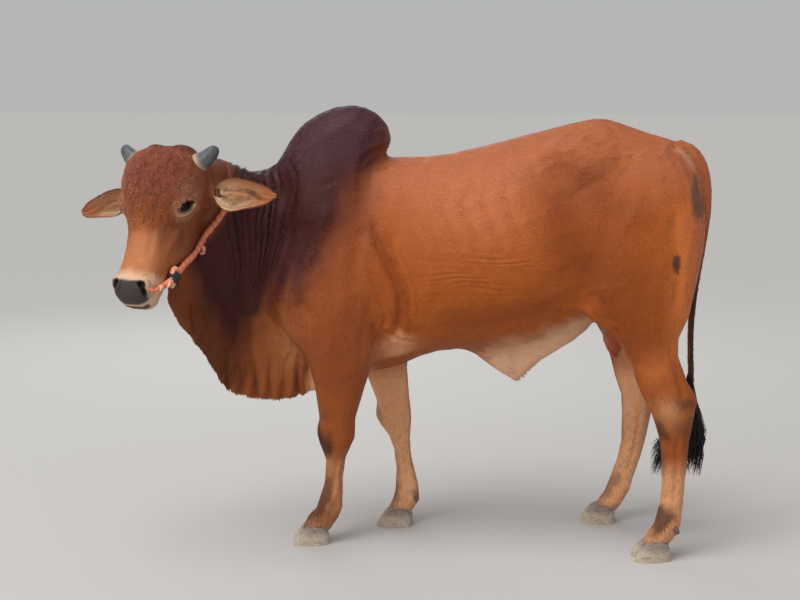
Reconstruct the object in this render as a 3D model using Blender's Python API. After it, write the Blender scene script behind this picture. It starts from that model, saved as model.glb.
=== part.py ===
"""A young humped zebu bull at life size, standing with its head turned to its left.

The body is lofted whole, remeshed into one hide, and then parted into named pieces by a
wedge round the head and boxes round the rest, a hair's gap apart. Ears, horns, eyes, claws, tail and halter are pieces of
their own, trimmed where they meet the hide.

Modelling frame: metres, +Z up, floor at 0, the bull faces -X, its left side is at -Y,
and its middle plane is Y = 0. At the end everything moves so that the origin is under
the middle of the whole model.
"""

import math

import bmesh
import bpy
import numpy as np
from mathutils import Matrix, Vector
from mathutils.bvhtree import BVHTree

# Driving dimensions, in metres
BACK_HEIGHT = 1.335
HUMP_HEIGHT = 1.505
RUMP_HEIGHT = 1.462
HEAD_LENGTH = 0.515
EYE_RADIUS = 0.0230
ROPE_RADIUS = 0.0065
ROPE_LIFT = 0.002
NOSE_ROPE_RADIUS = 0.0037
HIDE_VOXEL = 0.008
GAP = 0.0003
CORNER_GAP = GAP * 1.8
RING = 32

# Head frame: the poll, and how far the face turns, hangs and rolls, in degrees
POLL = np.array((-0.749, -0.34, 1.366))
HEAD_TURN = 24.0
HEAD_HANG = 25.0
HEAD_ROLL = 0.8

# Trunk sections: x, top, bottom, half width, height of the widest line
TRUNK = (
    (-0.50, 1.12, 0.74, 0.050, 0.93),
    (-0.47, 1.17, 0.67, 0.105, 0.93),
    (-0.40, 1.22, 0.62, 0.160, 0.94),
    (-0.30, 1.26, 0.59, 0.195, 0.95),
    (-0.20, 1.29, 0.58, 0.207, 0.96),
    (-0.10, 1.315, 0.58, 0.213, 0.96),
    (0.00, BACK_HEIGHT - 0.005, 0.603, 0.224, 0.95),
    (0.08, BACK_HEIGHT - 0.004, 0.640, 0.240, 0.95),
    (0.16, BACK_HEIGHT + 0.005, 0.660, 0.253, 0.96),
    (0.26, BACK_HEIGHT + 0.026, 0.668, 0.263, 0.965),
    (0.38, BACK_HEIGHT + 0.058, 0.680, 0.267, 0.975),
    (0.50, RUMP_HEIGHT - 0.038, 0.700, 0.262, 0.99),
    (0.60, RUMP_HEIGHT - 0.012, 0.735, 0.248, 1.03),
    (0.68, RUMP_HEIGHT, 0.775, 0.236, 1.07),
    (0.76, RUMP_HEIGHT - 0.022, 0.815, 0.220, 1.10),
    (0.84, RUMP_HEIGHT - 0.050, 0.860, 0.198, 1.12),
    (0.91, RUMP_HEIGHT - 0.068, 0.910, 0.160, 1.14),
    (0.96, RUMP_HEIGHT - 0.090, 0.970, 0.115, 1.16),
    (0.995, RUMP_HEIGHT - 0.125, 1.04, 0.070, 1.19),
    (1.01, RUMP_HEIGHT - 0.170, 1.11, 0.030, 1.20),
)

# Neck sections: centre x, y, z, half depth, half width
NECK = (
    (-0.22, 0.000, 0.980, 0.290, 0.165),
    (-0.34, -0.005, 1.000, 0.275, 0.160),
    (-0.44, -0.030, 1.000, 0.285, 0.150),
    (-0.53, -0.085, 1.070, 0.232, 0.132),
    (-0.60, -0.150, 1.138, 0.188, 0.119),
    (-0.665, -0.230, 1.210, 0.150, 0.110),
    (-0.70, -0.290, 1.250, 0.110, 0.085),
)

# Hump sections: x, top, bottom, half width
HUMP = (
    (-0.52, 1.275, 1.10, 0.050),
    (-0.455, 1.288, 1.10, 0.080),
    (-0.416, 1.317, 1.12, 0.095),
    (-0.385, 1.370, 1.14, 0.104),
    (-0.345, 1.428, 1.16, 0.112),
    (-0.287, 1.471, 1.18, 0.118),
    (-0.227, HUMP_HEIGHT - 0.009, 1.20, 0.120),
    (-0.161, HUMP_HEIGHT, 1.22, 0.116),
    (-0.111, HUMP_HEIGHT - 0.010, 1.26, 0.106),
    (-0.072, HUMP_HEIGHT - 0.034, 1.31, 0.088),
    (-0.043, HUMP_HEIGHT - 0.066, 1.345, 0.060),
    (-0.029, HUMP_HEIGHT - 0.098, 1.370, 0.022),
)

# Sheath sections: x, top, bottom, half width
SHEATH = (
    (0.19, 0.72, 0.668, 0.040),
    (0.26, 0.72, 0.645, 0.058),
    (0.31, 0.71, 0.604, 0.052),
    (0.36, 0.70, 0.573, 0.043),
    (0.402, 0.69, 0.549, 0.028),
    (0.435, 0.69, 0.575, 0.036),
    (0.49, 0.70, 0.624, 0.042),
    (0.545, 0.72, 0.660, 0.047),
    (0.60, 0.76, 0.695, 0.050),
    (0.66, 0.82, 0.745, 0.040),
)

# Dewlap: its free edge, the line that it hangs from, its half thickness at each, and
# how deep its pleats are
DEWLAP = (
    ((-0.700, -0.250, 1.040), (-0.665, -0.215, 1.120), 0.034, 0.014, 0.000),
    ((-0.762, -0.280, 0.875), (-0.640, -0.185, 1.060), 0.046, 0.014, 0.002),
    ((-0.702, -0.270, 0.755), (-0.590, -0.135, 1.000), 0.060, 0.014, 0.004),
    ((-0.647, -0.195, 0.645), (-0.545, -0.085, 0.940), 0.074, 0.014, 0.006),
    ((-0.590, -0.130, 0.530), (-0.500, -0.045, 0.890), 0.084, 0.014, 0.009),
    ((-0.500, -0.070, 0.487), (-0.440, -0.020, 0.830), 0.092, 0.015, 0.011),
    ((-0.390, -0.025, 0.478), (-0.370, -0.005, 0.770), 0.096, 0.017, 0.010),
    ((-0.300, 0.000, 0.508), (-0.300, 0.000, 0.720), 0.090, 0.020, 0.007),
    ((-0.200, 0.000, 0.550), (-0.210, 0.000, 0.700), 0.080, 0.026, 0.003),
    ((-0.060, 0.000, 0.588), (-0.080, 0.000, 0.690), 0.074, 0.030, 0.000),
)

# Leg sections down to the coronet: height, front x, back x, middle y, half width
LEGS = {
    "fore_left": (
        (1.22, -0.30, -0.06, -0.075, 0.050),
        (1.08, -0.375, -0.03, -0.112, 0.085),
        (0.93, -0.420, -0.03, -0.138, 0.095),
        (0.82, -0.420, -0.045, -0.148, 0.098),
        (0.74, -0.378, -0.06, -0.155, 0.094),
        (0.66, -0.312, -0.072, -0.158, 0.082),
        (0.60, -0.292, -0.092, -0.157, 0.074),
        (0.548, -0.280, -0.110, -0.155, 0.066),
        (0.45, -0.267, -0.139, -0.150, 0.053),
        (0.40, -0.271, -0.142, -0.148, 0.050),
        (0.37, -0.270, -0.147, -0.147, 0.050),
        (0.335, -0.259, -0.163, -0.146, 0.044),
        (0.30, -0.247, -0.176, -0.145, 0.034),
        (0.25, -0.248, -0.184, -0.142, 0.031),
        (0.20, -0.257, -0.186, -0.140, 0.033),
        (0.16, -0.270, -0.187, -0.138, 0.040),
        (0.125, -0.282, -0.190, -0.136, 0.041),
        (0.095, -0.305, -0.203, -0.133, 0.040),
        (0.070, -0.325, -0.218, -0.130, 0.042),
        (0.045, -0.332, -0.232, -0.128, 0.038),
    ),
    "fore_right": (
        (1.22, -0.28, -0.05, 0.075, 0.050),
        (1.08, -0.355, -0.01, 0.112, 0.085),
        (0.93, -0.390, 0.00, 0.138, 0.095),
        (0.82, -0.370, 0.010, 0.148, 0.098),
        (0.74, -0.305, 0.020, 0.155, 0.092),
        (0.66, -0.215, 0.025, 0.152, 0.080),
        (0.58, -0.150, 0.018, 0.146, 0.068),
        (0.518, -0.121, 0.020, 0.140, 0.062),
        (0.452, -0.096, 0.026, 0.135, 0.053),
        (0.405, -0.092, 0.032, 0.130, 0.050),
        (0.367, -0.083, 0.032, 0.128, 0.049),
        (0.33, -0.056, 0.029, 0.125, 0.042),
        (0.29, -0.037, 0.029, 0.122, 0.034),
        (0.25, -0.028, 0.034, 0.120, 0.031),
        (0.20, -0.023, 0.044, 0.117, 0.033),
        (0.155, -0.024, 0.057, 0.114, 0.040),
        (0.12, -0.026, 0.062, 0.112, 0.041),
        (0.09, -0.035, 0.060, 0.110, 0.040),
        (0.065, -0.050, 0.047, 0.108, 0.042),
        (0.042, -0.056, 0.035, 0.107, 0.038),
    ),
    "hind_left": (
        (1.36, 0.66, 0.90, -0.085, 0.050),
        (1.28, 0.62, 0.968, -0.112, 0.085),
        (1.17, 0.60, 1.018, -0.132, 0.105),
        (1.05, 0.60, 1.020, -0.145, 0.110),
        (0.95, 0.61, 1.003, -0.155, 0.108),
        (0.87, 0.63, 0.987, -0.163, 0.100),
        (0.80, 0.668, 0.970, -0.170, 0.088),
        (0.745, 0.720, 0.942, -0.175, 0.075),
        (0.69, 0.757, 0.940, -0.178, 0.062),
        (0.64, 0.782, 0.957, -0.180, 0.052),
        (0.59, 0.797, 0.975, -0.182, 0.046),
        (0.545, 0.820, 1.003, -0.185, 0.046),
        (0.50, 0.845, 0.999, -0.188, 0.045),
        (0.44, 0.868, 0.989, -0.192, 0.037),
        (0.38, 0.882, 0.979, -0.197, 0.031),
        (0.30, 0.889, 0.972, -0.203, 0.029),
        (0.22, 0.887, 0.966, -0.210, 0.030),
        (0.16, 0.878, 0.960, -0.216, 0.038),
        (0.125, 0.868, 0.958, -0.220, 0.040),
        (0.095, 0.850, 0.947, -0.224, 0.039),
        (0.070, 0.833, 0.930, -0.228, 0.042),
        (0.045, 0.825, 0.915, -0.230, 0.038),
    ),
    "hind_right": (
        (1.36, 0.66, 0.90, 0.085, 0.050),
        (1.28, 0.61, 0.965, 0.112, 0.085),
        (1.17, 0.585, 1.010, 0.132, 0.105),
        (1.05, 0.580, 1.000, 0.145, 0.110),
        (0.95, 0.585, 0.975, 0.155, 0.108),
        (0.87, 0.600, 0.945, 0.163, 0.100),
        (0.80, 0.630, 0.910, 0.170, 0.088),
        (0.74, 0.675, 0.880, 0.174, 0.075),
        (0.68, 0.710, 0.870, 0.175, 0.062),
        (0.62, 0.730, 0.880, 0.176, 0.052),
        (0.57, 0.745, 0.897, 0.177, 0.046),
        (0.525, 0.762, 0.918, 0.178, 0.046),
        (0.48, 0.777, 0.910, 0.180, 0.045),
        (0.42, 0.782, 0.893, 0.182, 0.037),
        (0.36, 0.783, 0.884, 0.184, 0.031),
        (0.29, 0.782, 0.869, 0.187, 0.029),
        (0.22, 0.765, 0.850, 0.190, 0.030),
        (0.165, 0.746, 0.832, 0.192, 0.038),
        (0.13, 0.735, 0.825, 0.193, 0.040),
        (0.10, 0.722, 0.810, 0.194, 0.039),
        (0.075, 0.705, 0.795, 0.195, 0.042),
        (0.047, 0.698, 0.780, 0.196, 0.038),
    ),
}

# Head sections: distance down from the poll, front, back, half width, squareness
HEAD = (
    (-0.026, -0.045, -0.110, 0.045, 2.0),
    (-0.014, -0.012, -0.140, 0.092, 2.1),
    (0.016, 0.012, -0.165, 0.130, 2.2),
    (0.062, 0.029, -0.185, 0.149, 2.2),
    (0.110, 0.033, -0.200, 0.152, 2.2),
    (0.160, 0.029, -0.212, 0.138, 2.2),
    (0.210, 0.020, -0.214, 0.112, 2.2),
    (0.260, 0.011, -0.204, 0.090, 2.2),
    (0.310, 0.004, -0.184, 0.079, 2.3),
    (0.360, 0.000, -0.160, 0.074, 2.4),
    (0.400, 0.001, -0.142, 0.074, 2.6),
    (0.440, 0.003, -0.128, 0.076, 2.7),
    (0.474, 0.000, -0.118, 0.073, 2.6),
    (0.498, -0.012, -0.108, 0.060, 2.4),
    (HEAD_LENGTH, -0.035, -0.092, 0.036, 2.2),
)

# Tail: x and height of its middle line, and its radius
TAIL = (
    (0.930, 1.355, 0.036),
    (0.975, 1.340, 0.034),
    (1.008, 1.300, 0.031),
    (1.026, 1.240, 0.028),
    (1.033, 1.170, 0.024),
    (1.031, 1.100, 0.021),
    (1.022, 1.010, 0.018),
    (1.011, 0.920, 0.0155),
    (1.002, 0.830, 0.0140),
    (0.998, 0.740, 0.0130),
    (1.000, 0.650, 0.0125),
    (1.004, 0.560, 0.0125),
)

# Eyes: centre, outward look and the slit's direction, in the head's frame, for the left side
EYE_CENTRE = (0.184, 0.1130, -0.041)
EYE_LOOK = (-0.05, 0.84, 0.54)
EYE_SLIT = (-0.82, 0.43, -0.36)
EYE_OPENING = (0.0230, 0.0125)

# Head swellings, mirrored: centre and radii down, aside and out, in the head's frame
HEAD_BUMPS = (
    ((0.168, 0.107, -0.044), (0.050, 0.026, 0.042)),
    ((0.140, 0.112, -0.066), (0.055, 0.047, 0.042)),
    ((0.050, 0.118, -0.140), (0.068, 0.052, 0.058)),
    (EYE_CENTRE, (0.0290, 0.0290, 0.0290)),
    ((0.098, 0.140, -0.126), (0.047, 0.046, 0.036)),
    ((0.225, 0.062, -0.125), (0.115, 0.050, 0.090)),
    ((0.070, 0.028, -0.040), (0.090, 0.113, 0.076)),
    ((-0.005, 0.050, -0.060), (0.031, 0.052, 0.047)),
    ((0.452, 0.045, -0.028), (0.036, 0.031, 0.038)),
    ((0.475, 0.012, -0.100), (0.038, 0.040, 0.030)),
)

# Body swellings, mirrored: centre, radii and lean in degrees
BODY_BUMPS = (
    ((-0.260, 0.118, 0.990), (0.125, 0.088, 0.260), 25.0),
    ((-0.160, 0.155, 0.800), (0.130, 0.062, 0.110), 0.0),
    ((-0.380, 0.138, 0.850), (0.065, 0.062, 0.085), 0.0),
    ((0.605, 0.120, 1.300), (0.170, 0.098, 0.105), 0.0),
    ((0.955, 0.085, 1.230), (0.050, 0.045, 0.065), 0.0),
    ((0.690, 0.178, 0.870), (0.070, 0.052, 0.095), 20.0),
    ((0.915, 0.115, 1.080), (0.105, 0.078, 0.200), 0.0),
    ((0.738, 0.022, 0.736), (0.046, 0.036, 0.098), 0.0),
    ((0.742, 0.012, 0.810), (0.060, 0.034, 0.055), 0.0),
)
DEWLAP_PLEAT_SPACING = 0.052

# Ears: base, tip and the way the cup faces, in the head's frame, for the left side
EAR_BASES = {1: (0.098, 0.150, -0.122), -1: (0.112, 0.115, -0.120)}
EAR_TIPS = {1: (0.103, 0.388, -0.125), -1: (0.177, 0.366, -0.120)}
EAR_FACE = (0.22, 0.0, 0.97)
EAR_THICK = 0.006
# Along the ear: half width measured round the cup, and half angle of the cup in degrees
EAR_SECTIONS = (
    (0.058, 120.0),
    (0.067, 95.0),
    (0.069, 78.0),
    (0.067, 66.0),
    (0.061, 58.0),
    (0.053, 52.0),
    (0.044, 48.0),
    (0.034, 45.0),
    (0.023, 42.0),
    (0.008, 38.0),
)

# Horn stubs: middle line in the head's frame, for the left side, and radii
HORN = (
    (0.034, 0.092, -0.055, 0.033),
    (0.027, 0.118, -0.053, 0.033),
    (0.014, 0.142, -0.050, 0.029),
    (-0.002, 0.162, -0.046, 0.024),
    (-0.016, 0.177, -0.043, 0.0185),
    (-0.022, 0.185, -0.041, 0.010),
)

# Halter rope on the left, from the nape behind the ear and down the cheek to the nostril,
# in the head's frame; it is laid on the skin, and the right side mirrors it
HALTER = (
    (0.020, 0.000, -0.262),
    (0.026, 0.060, -0.256),
    (0.048, 0.115, -0.238),
    (0.080, 0.146, -0.218),
    (0.117, 0.153, -0.203),
    (0.156, 0.142, -0.197),
    (0.189, 0.128, -0.193),
    (0.224, 0.110, -0.186),
    (0.252, 0.101, -0.182),
    (0.285, 0.100, -0.167),
    (0.316, 0.095, -0.153),
    (0.342, 0.092, -0.139),
    (0.365, 0.090, -0.127),
    (0.395, 0.088, -0.107),
    (0.427, 0.084, -0.084),
    (0.450, 0.080, -0.050),
    (0.466, 0.074, -0.026),
)
HALTER_KNOTS = ((0.428, 0.0150), (0.452, 0.0125))
STRIP_AT = 0.395
STRIP_RADII = (0.020, 0.012, 0.012)

# Feet: middle of the ground contact, and the way the toes turn out, in degrees
FEET = {
    "fore_left": (-0.297, -0.128, -6.0),
    "fore_right": (-0.022, 0.107, 5.0),
    "hind_left": (0.861, -0.230, -8.0),
    "hind_right": (0.709, 0.196, 8.0),
}
# One claw, ground up: height, reach to the toe, to the heel and half width
CLAW = (
    (0.000, 0.066, 0.056, 0.025),
    (0.014, 0.064, 0.056, 0.026),
    (0.032, 0.052, 0.054, 0.025),
    (0.052, 0.036, 0.050, 0.023),
    (0.070, 0.020, 0.044, 0.019),
    (0.080, 0.008, 0.034, 0.012),
)
CLAW_APART = 0.030
# Dewclaws: how far behind the foot's middle, and height
DEWCLAWS = {
    "fore_left": (0.092, 0.108),
    "fore_right": (0.078, 0.103),
    "hind_left": (0.086, 0.105),
    "hind_right": (0.090, 0.110),
}

# Mouth and nostrils, in the head's frame
MOUTH_CENTRE = (0.425, 0.0, -0.070)
MOUTH_SWING = 108.0
MOUTH_RISE = 0.28
MOUTH_GROOVE = 0.003
NOSTRIL = (0.458, 0.052, 0.006)

# Tail tuft: its core as x, height and half widths, then the locks that hang round it
SWITCH_CORE = (
    (1.004, 0.560, 0.0125, 0.0125),
    (1.003, 0.520, 0.0155, 0.0140),
    (0.996, 0.470, 0.0210, 0.0150),
    (0.985, 0.420, 0.0240, 0.0130),
    (0.978, 0.385, 0.0120, 0.0070),
)
LOCK_COUNT = 28
LOCK_ROOTS_X = (0.996, 1.004)
LOCK_ROOTS_Z = (0.440, 0.535)
LOCK_BELLIES_X = (0.955, 1.030)
LOCK_BELLIES_Z = (0.360, 0.400)
LOCK_TIPS_X = (0.885, 1.026)
LOCK_TIPS_Z = (0.215, 0.300)
LOCK_SPREAD = 0.034
LOCK_TAPER = np.array((0.65, 1.0, 1.0, 0.9, 0.7, 0.45, 0.12))
LOCK_WIDTH = 0.013
LOCK_THICK = 0.0045
LOCK_SEED = 7

# Outline of the wedge that holds the head: distance down and out, in the head's frame
HEAD_WEDGE = ((-0.10, -0.160), (0.215, -0.226), (0.58, -0.100), (0.58, 0.100), (-0.10, 0.100))
HEAD_WEDGE_HALF = 0.35

# Parting boxes, in the order of cutting: name, then centre, size and turn in degrees
REGIONS = (
    ("cannon_fore_left", ((-0.23, -0.16, 0.145), (0.36, 0.20, 0.37), 0)),
    ("cannon_fore_right", ((0.0, 0.14, 0.145), (0.36, 0.20, 0.37), 0)),
    ("cannon_hind_left", ((0.90, -0.22, 0.205), (0.40, 0.20, 0.49), 0)),
    ("cannon_hind_right", ((0.79, 0.21, 0.195), (0.44, 0.20, 0.47), 0)),
    ("foreleg_left", ((-0.19, -0.216, 0.43), (0.31, 0.30, 0.46), 0)),
    ("foreleg_right", ((-0.095, 0.216, 0.43), (0.31, 0.30, 0.46), 0)),
    ("hindleg_left", ((0.86, -0.205, 0.63), (0.56, 0.30, 0.60), -20)),
    ("hindleg_right", ((0.81, 0.205, 0.61), (0.56, 0.30, 0.60), -20)),
    ("neck", ((-0.85, -0.2, 0.95), (0.84, 1.2, 1.40), 0)),
    ("hump", ((-0.20, 0.0, 1.45), (0.56, 0.40, 0.24), -8)),
)

# Where the head begins: a point of that plane, and the way it faces
THROAT = (-0.63, -0.19, 1.17)
THROAT_FACES = (-0.45, -0.70, 0.55)

# Making of the hide
MELT_ROUNDS = 30
RELAX_ROUNDS = 10
BODY_FACES = 3300
HEAD_FACES = 1700

# Colours
HIDE_RED = (0.30, 0.085, 0.025)
EAR_TAN = (0.48, 0.26, 0.14)
HORN_GREY = (0.16, 0.16, 0.15)
EYE_DARK = (0.01, 0.008, 0.008)
SWITCH_BLACK = (0.01, 0.008, 0.007)
ROPE_ORANGE = (0.80, 0.20, 0.09)
STRIP_DARK = (0.03, 0.03, 0.035)


# Shapes as pairs of points and faces

def smooth_rows(rows, count):
    """Rows of section values, resampled along a smooth curve through all of them."""
    rows = np.array(rows, float)
    at = np.linspace(0, len(rows) - 1, count)
    low = np.clip(at.astype(int), 0, len(rows) - 2)
    t = (at - low)[:, None]
    before = rows[np.clip(low - 1, 0, None)]
    start = rows[low]
    end = rows[low + 1]
    after = rows[np.clip(low + 2, None, len(rows) - 1)]
    cubic = 3 * (start - end) + after - before
    square = 2 * before - 5 * start + 4 * end - after
    return start + 0.5 * t * (end - before + t * (square + t * cubic))


def grid_faces(rows, ring):
    """Quads between closed rings of points, with a fan to one more point at each end."""
    faces = []
    for row in range(rows - 1):
        for step in range(ring):
            following = (step + 1) % ring
            faces.append((row * ring + step, row * ring + following,
                          (row + 1) * ring + following, (row + 1) * ring + step))
    first = rows * ring
    for step in range(ring):
        following = (step + 1) % ring
        faces.append((following, step, first))
        faces.append(((rows - 1) * ring + step, (rows - 1) * ring + following, first + 1))
    return faces


def tube(centres, ups, sides, rise, drop, half, power=2.0, ring=RING):
    """A closed surface through oval rings: rise and drop along ups, half along sides."""
    count = len(centres)
    turn = np.arange(ring) * 2 * math.pi / ring
    squeeze = (2 / np.broadcast_to(power, count))[:, None]
    across = np.sign(np.cos(turn)) * np.abs(np.cos(turn)) ** squeeze
    along = np.sign(np.sin(turn)) * np.abs(np.sin(turn)) ** squeeze
    reach = np.where(np.sin(turn) > 0, np.array(rise)[:, None], np.array(drop)[:, None])
    points = (centres[:, None]
              + sides[:, None] * (np.array(half)[:, None] * across)[..., None]
              + ups[:, None] * (reach * along)[..., None])
    points = np.concatenate([points.reshape(-1, 3), centres[:1], centres[-1:]])
    return points, grid_faces(count, ring)


def ellipsoid(centre, axes, radii, rings=12, ring=20):
    """An ellipsoid whose radii lie along the three rows of axes."""
    bend = np.linspace(0, math.pi, rings + 2)[1:-1]
    turn = np.arange(ring) * 2 * math.pi / ring
    unit = np.stack([np.outer(np.sin(bend), np.cos(turn)), np.outer(np.sin(bend), np.sin(turn)),
                     np.outer(np.cos(bend), np.ones(ring))], axis=-1).reshape(-1, 3)
    unit = np.concatenate([unit, [(0, 0, 1), (0, 0, -1)]])
    return np.array(centre) + (unit * radii) @ np.array(axes), grid_faces(rings, ring)


def repeat(vector, count):
    """The same unit vector for every section."""
    return np.tile(np.array(vector, float), (count, 1))


def path_frames(path, hint):
    """Two directions across each point of a path, the first as near as can be to hint."""
    along = np.gradient(path, axis=0)
    along /= np.linalg.norm(along, axis=1)[:, None]
    side = np.cross(along, hint)
    side /= np.linalg.norm(side, axis=1)[:, None]
    return np.cross(side, along), side


def pipe(path, radius, hint=(0, 1, 0), ring=12):
    """A round tube along a path, with one radius or one at each point."""
    path = np.array(path, float)
    up, side = path_frames(path, hint)
    radius = np.broadcast_to(radius, len(path))
    return tube(path, up, side, radius, radius, radius, ring=ring)


# The animal's forms

def sections_along_x(rows, count):
    """A trunk-like form from rows of x, top, bottom and half width."""
    rows = smooth_rows(rows, count)
    widest = rows[:, 4] if rows.shape[1] > 4 else (rows[:, 1] + rows[:, 2]) / 2
    centres = np.stack([rows[:, 0], np.zeros(count), widest], axis=1)
    return tube(centres, repeat((0, 0, 1), count), repeat((0, 1, 0), count),
                rows[:, 1] - widest, widest - rows[:, 2], rows[:, 3])


def neck_form():
    """The neck, bent to the left, down to the throat."""
    rows = smooth_rows(NECK, 40)
    up, side = path_frames(rows[:, :3], (0, 0, 1))
    return tube(rows[:, :3], up, side, rows[:, 3], rows[:, 3], rows[:, 4])


def dewlap_form():
    """The hanging fold from throat to brisket, its edge drawn into soft pleats."""
    table = [list(edge) + list(root) + list(sizes) for edge, root, *sizes in DEWLAP]
    count = 70
    rows = smooth_rows(table, count)
    edge, root = rows[:, 0:3], rows[:, 3:6]
    thick, thin = rows[:, 6:7], rows[:, 7:8]
    drop = (edge - root) / 2
    along = np.gradient((edge + root) / 2, axis=0)
    side = np.cross(drop, along)
    side /= np.linalg.norm(side, axis=1)[:, None]
    turn = np.arange(RING) * 2 * math.pi / RING
    down = np.cos(turn)[None, :]
    half = (thick * (1 - down) + thin * (1 + down)) / 2 * np.sin(turn)[None, :]
    travel = np.concatenate([[0], np.cumsum(np.linalg.norm(np.diff(edge, axis=0), axis=1))])
    pleat = rows[:, 8:9] * np.sin(travel * 2 * math.pi / DEWLAP_PLEAT_SPACING)[:, None]
    pleat = pleat * np.clip((down + 0.5) / 1.5, 0, 1) ** 1.5
    middle = (edge + root) / 2
    points = middle[:, None] + drop[:, None] * down[..., None]
    points = points + side[:, None] * (half + pleat)[..., None]
    points = np.concatenate([points.reshape(-1, 3), middle[:1], middle[-1:]])
    return points, grid_faces(count, RING)


def leg_form(rows):
    """One leg, from inside the trunk to the coronet, in level sections."""
    rows = smooth_rows(rows, 60)
    count = len(rows)
    middle = (rows[:, 1] + rows[:, 2]) / 2
    depth = (rows[:, 2] - rows[:, 1]) / 2
    centres = np.stack([middle, rows[:, 3], rows[:, 0]], axis=1)
    return tube(centres, repeat((1, 0, 0), count), repeat((0, 1, 0), count),
                depth, depth, rows[:, 4], power=2.15)


def head_axes():
    """The head's own directions: down the face, to its left, and out of the face."""
    turn, hang = math.radians(HEAD_TURN), math.radians(HEAD_HANG)
    ahead = np.array((-math.sin(turn), -math.cos(turn), 0.0))
    left = np.array((math.cos(turn), -math.sin(turn), 0.0))
    up = np.array((0.0, 0.0, 1.0))
    down = ahead * math.sin(hang) - up * math.cos(hang)
    out = ahead * math.cos(hang) + up * math.sin(hang)
    roll = math.radians(HEAD_ROLL)
    lower = down * math.cos(roll) + left * math.sin(roll)
    left = left * math.cos(roll) - down * math.sin(roll)
    return np.array((lower, left, out))


def from_head(points):
    """World places of points given in the head's own frame."""
    return POLL + np.array(points, float) @ head_axes()


def head_forms():
    """The skull's loft, with brows, cheeks, dome, nostril wings and chin over it."""
    down, left, out = axes = head_axes()
    rows = smooth_rows(HEAD, 60)
    count = len(rows)
    widest = rows[:, 1] - 0.42 * (rows[:, 1] - rows[:, 2])
    centres = POLL + rows[:, :1] * down + widest[:, None] * out
    forms = [tube(centres, repeat(out, count), repeat(left, count),
                  rows[:, 1] - widest, widest - rows[:, 2], rows[:, 3], power=rows[:, 4])]
    for centre, radii in HEAD_BUMPS:
        for side in (-1, 1):
            place = from_head((centre[0], centre[1] * side, centre[2]))
            forms.append(ellipsoid(place, axes, radii))
    return forms


def body_forms():
    """Every form that the hide is drawn over."""
    forms = [sections_along_x(TRUNK, 90), sections_along_x(HUMP, 50),
             sections_along_x(SHEATH, 40), neck_form(), dewlap_form()]
    forms += [leg_form(rows) for rows in LEGS.values()]
    forms += head_forms()
    for centre, radii, lean in BODY_BUMPS:
        for side in (-1, 1):
            tilt = Matrix.Rotation(math.radians(lean), 3, "Y")
            place = (centre[0], centre[1] * side, centre[2])
            forms.append(ellipsoid(place, np.array(tilt.transposed()), radii))
    return forms


# Mesh work

def new_object(name, points, faces):
    """A mesh object whose faces point out."""
    mesh = bpy.data.meshes.new(name)
    mesh.from_pydata([tuple(p) for p in points], [], [tuple(f) for f in faces])
    shell = bmesh.new()
    shell.from_mesh(mesh)
    bmesh.ops.recalc_face_normals(shell, faces=shell.faces)
    shell.to_mesh(mesh)
    shell.free()
    obj = bpy.data.objects.new(name, mesh)
    bpy.context.scene.collection.objects.link(obj)
    return obj


def joined(name, forms):
    """One object that holds several closed surfaces."""
    points, faces, start = [], [], 0
    for form_points, form_faces in forms:
        points.append(form_points)
        faces += [tuple(index + start for index in face) for face in form_faces]
        start += len(form_points)
    return new_object(name, np.concatenate(points), faces)


def settle(obj):
    """Applies an object's modifiers."""
    graph = bpy.context.evaluated_depsgraph_get()
    mesh = bpy.data.meshes.new_from_object(obj.evaluated_get(graph))
    obj.modifiers.clear()
    obj.data = mesh


def coordinates(mesh):
    """A mesh's points as an array."""
    flat = np.empty(len(mesh.vertices) * 3)
    mesh.vertices.foreach_get("co", flat)
    return flat.reshape(-1, 3)


def place(mesh, points):
    """Sets a mesh's points from an array."""
    mesh.vertices.foreach_set("co", points.ravel())
    mesh.update()


def relax(mesh, rounds, weight, back=-0.52):
    """Evens out a surface, each point by its own weight; back undoes the shrinking."""
    points = coordinates(mesh)
    ends = np.empty(len(mesh.edges) * 2, int)
    mesh.edges.foreach_get("vertices", ends)
    ends = ends.reshape(-1, 2)
    total = len(points)
    degree = np.bincount(ends.ravel(), minlength=total)[:, None]
    for step in range(rounds * 2):
        force = 0.55 if step % 2 == 0 else back
        near = np.stack([np.bincount(ends[:, 0], points[ends[:, 1], axis], total)
                         + np.bincount(ends[:, 1], points[ends[:, 0], axis], total)
                         for axis in range(3)], axis=1)
        points = points + force * weight[:, None] * (near / degree - points)
    place(mesh, points)


def boolean(obj, other, operation, solver="EXACT"):
    """Joins, cuts or intersects an object with another, or with a list of them."""
    others = other if isinstance(other, list) else [other]
    group = bpy.data.collections.new("operands")
    bpy.context.scene.collection.children.link(group)
    for piece in others:
        group.objects.link(piece)
    tool = obj.modifiers.new("boolean", "BOOLEAN")
    tool.operation = operation
    tool.solver = solver
    tool.operand_type = "COLLECTION"
    tool.collection = group
    settle(obj)
    for piece in others:
        group.objects.unlink(piece)
    bpy.data.collections.remove(group)


def discard(pieces):
    """Removes objects that were only needed for a cut or a join."""
    for piece in pieces:
        bpy.data.objects.remove(piece)


def keep_largest(obj):
    """Leaves only the largest closed surface of an object."""
    shell = bmesh.new()
    shell.from_mesh(obj.data)
    seen, islands = set(), []
    for seed in shell.verts:
        if seed in seen:
            continue
        island, waiting = [], [seed]
        seen.add(seed)
        while waiting:
            vert = waiting.pop()
            island.append(vert)
            for edge in vert.link_edges:
                other = edge.other_vert(vert)
                if other not in seen:
                    seen.add(other)
                    waiting.append(other)
        islands.append(island)

    def spread(island):
        box = np.array([vert.co for vert in island])
        return float(np.prod(box.max(axis=0) - box.min(axis=0)))

    largest = max(islands, key=spread)
    extra = [vert for island in islands if island is not largest for vert in island]
    bmesh.ops.delete(shell, geom=extra, context="VERTS")
    shell.to_mesh(obj.data)
    shell.free()


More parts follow.
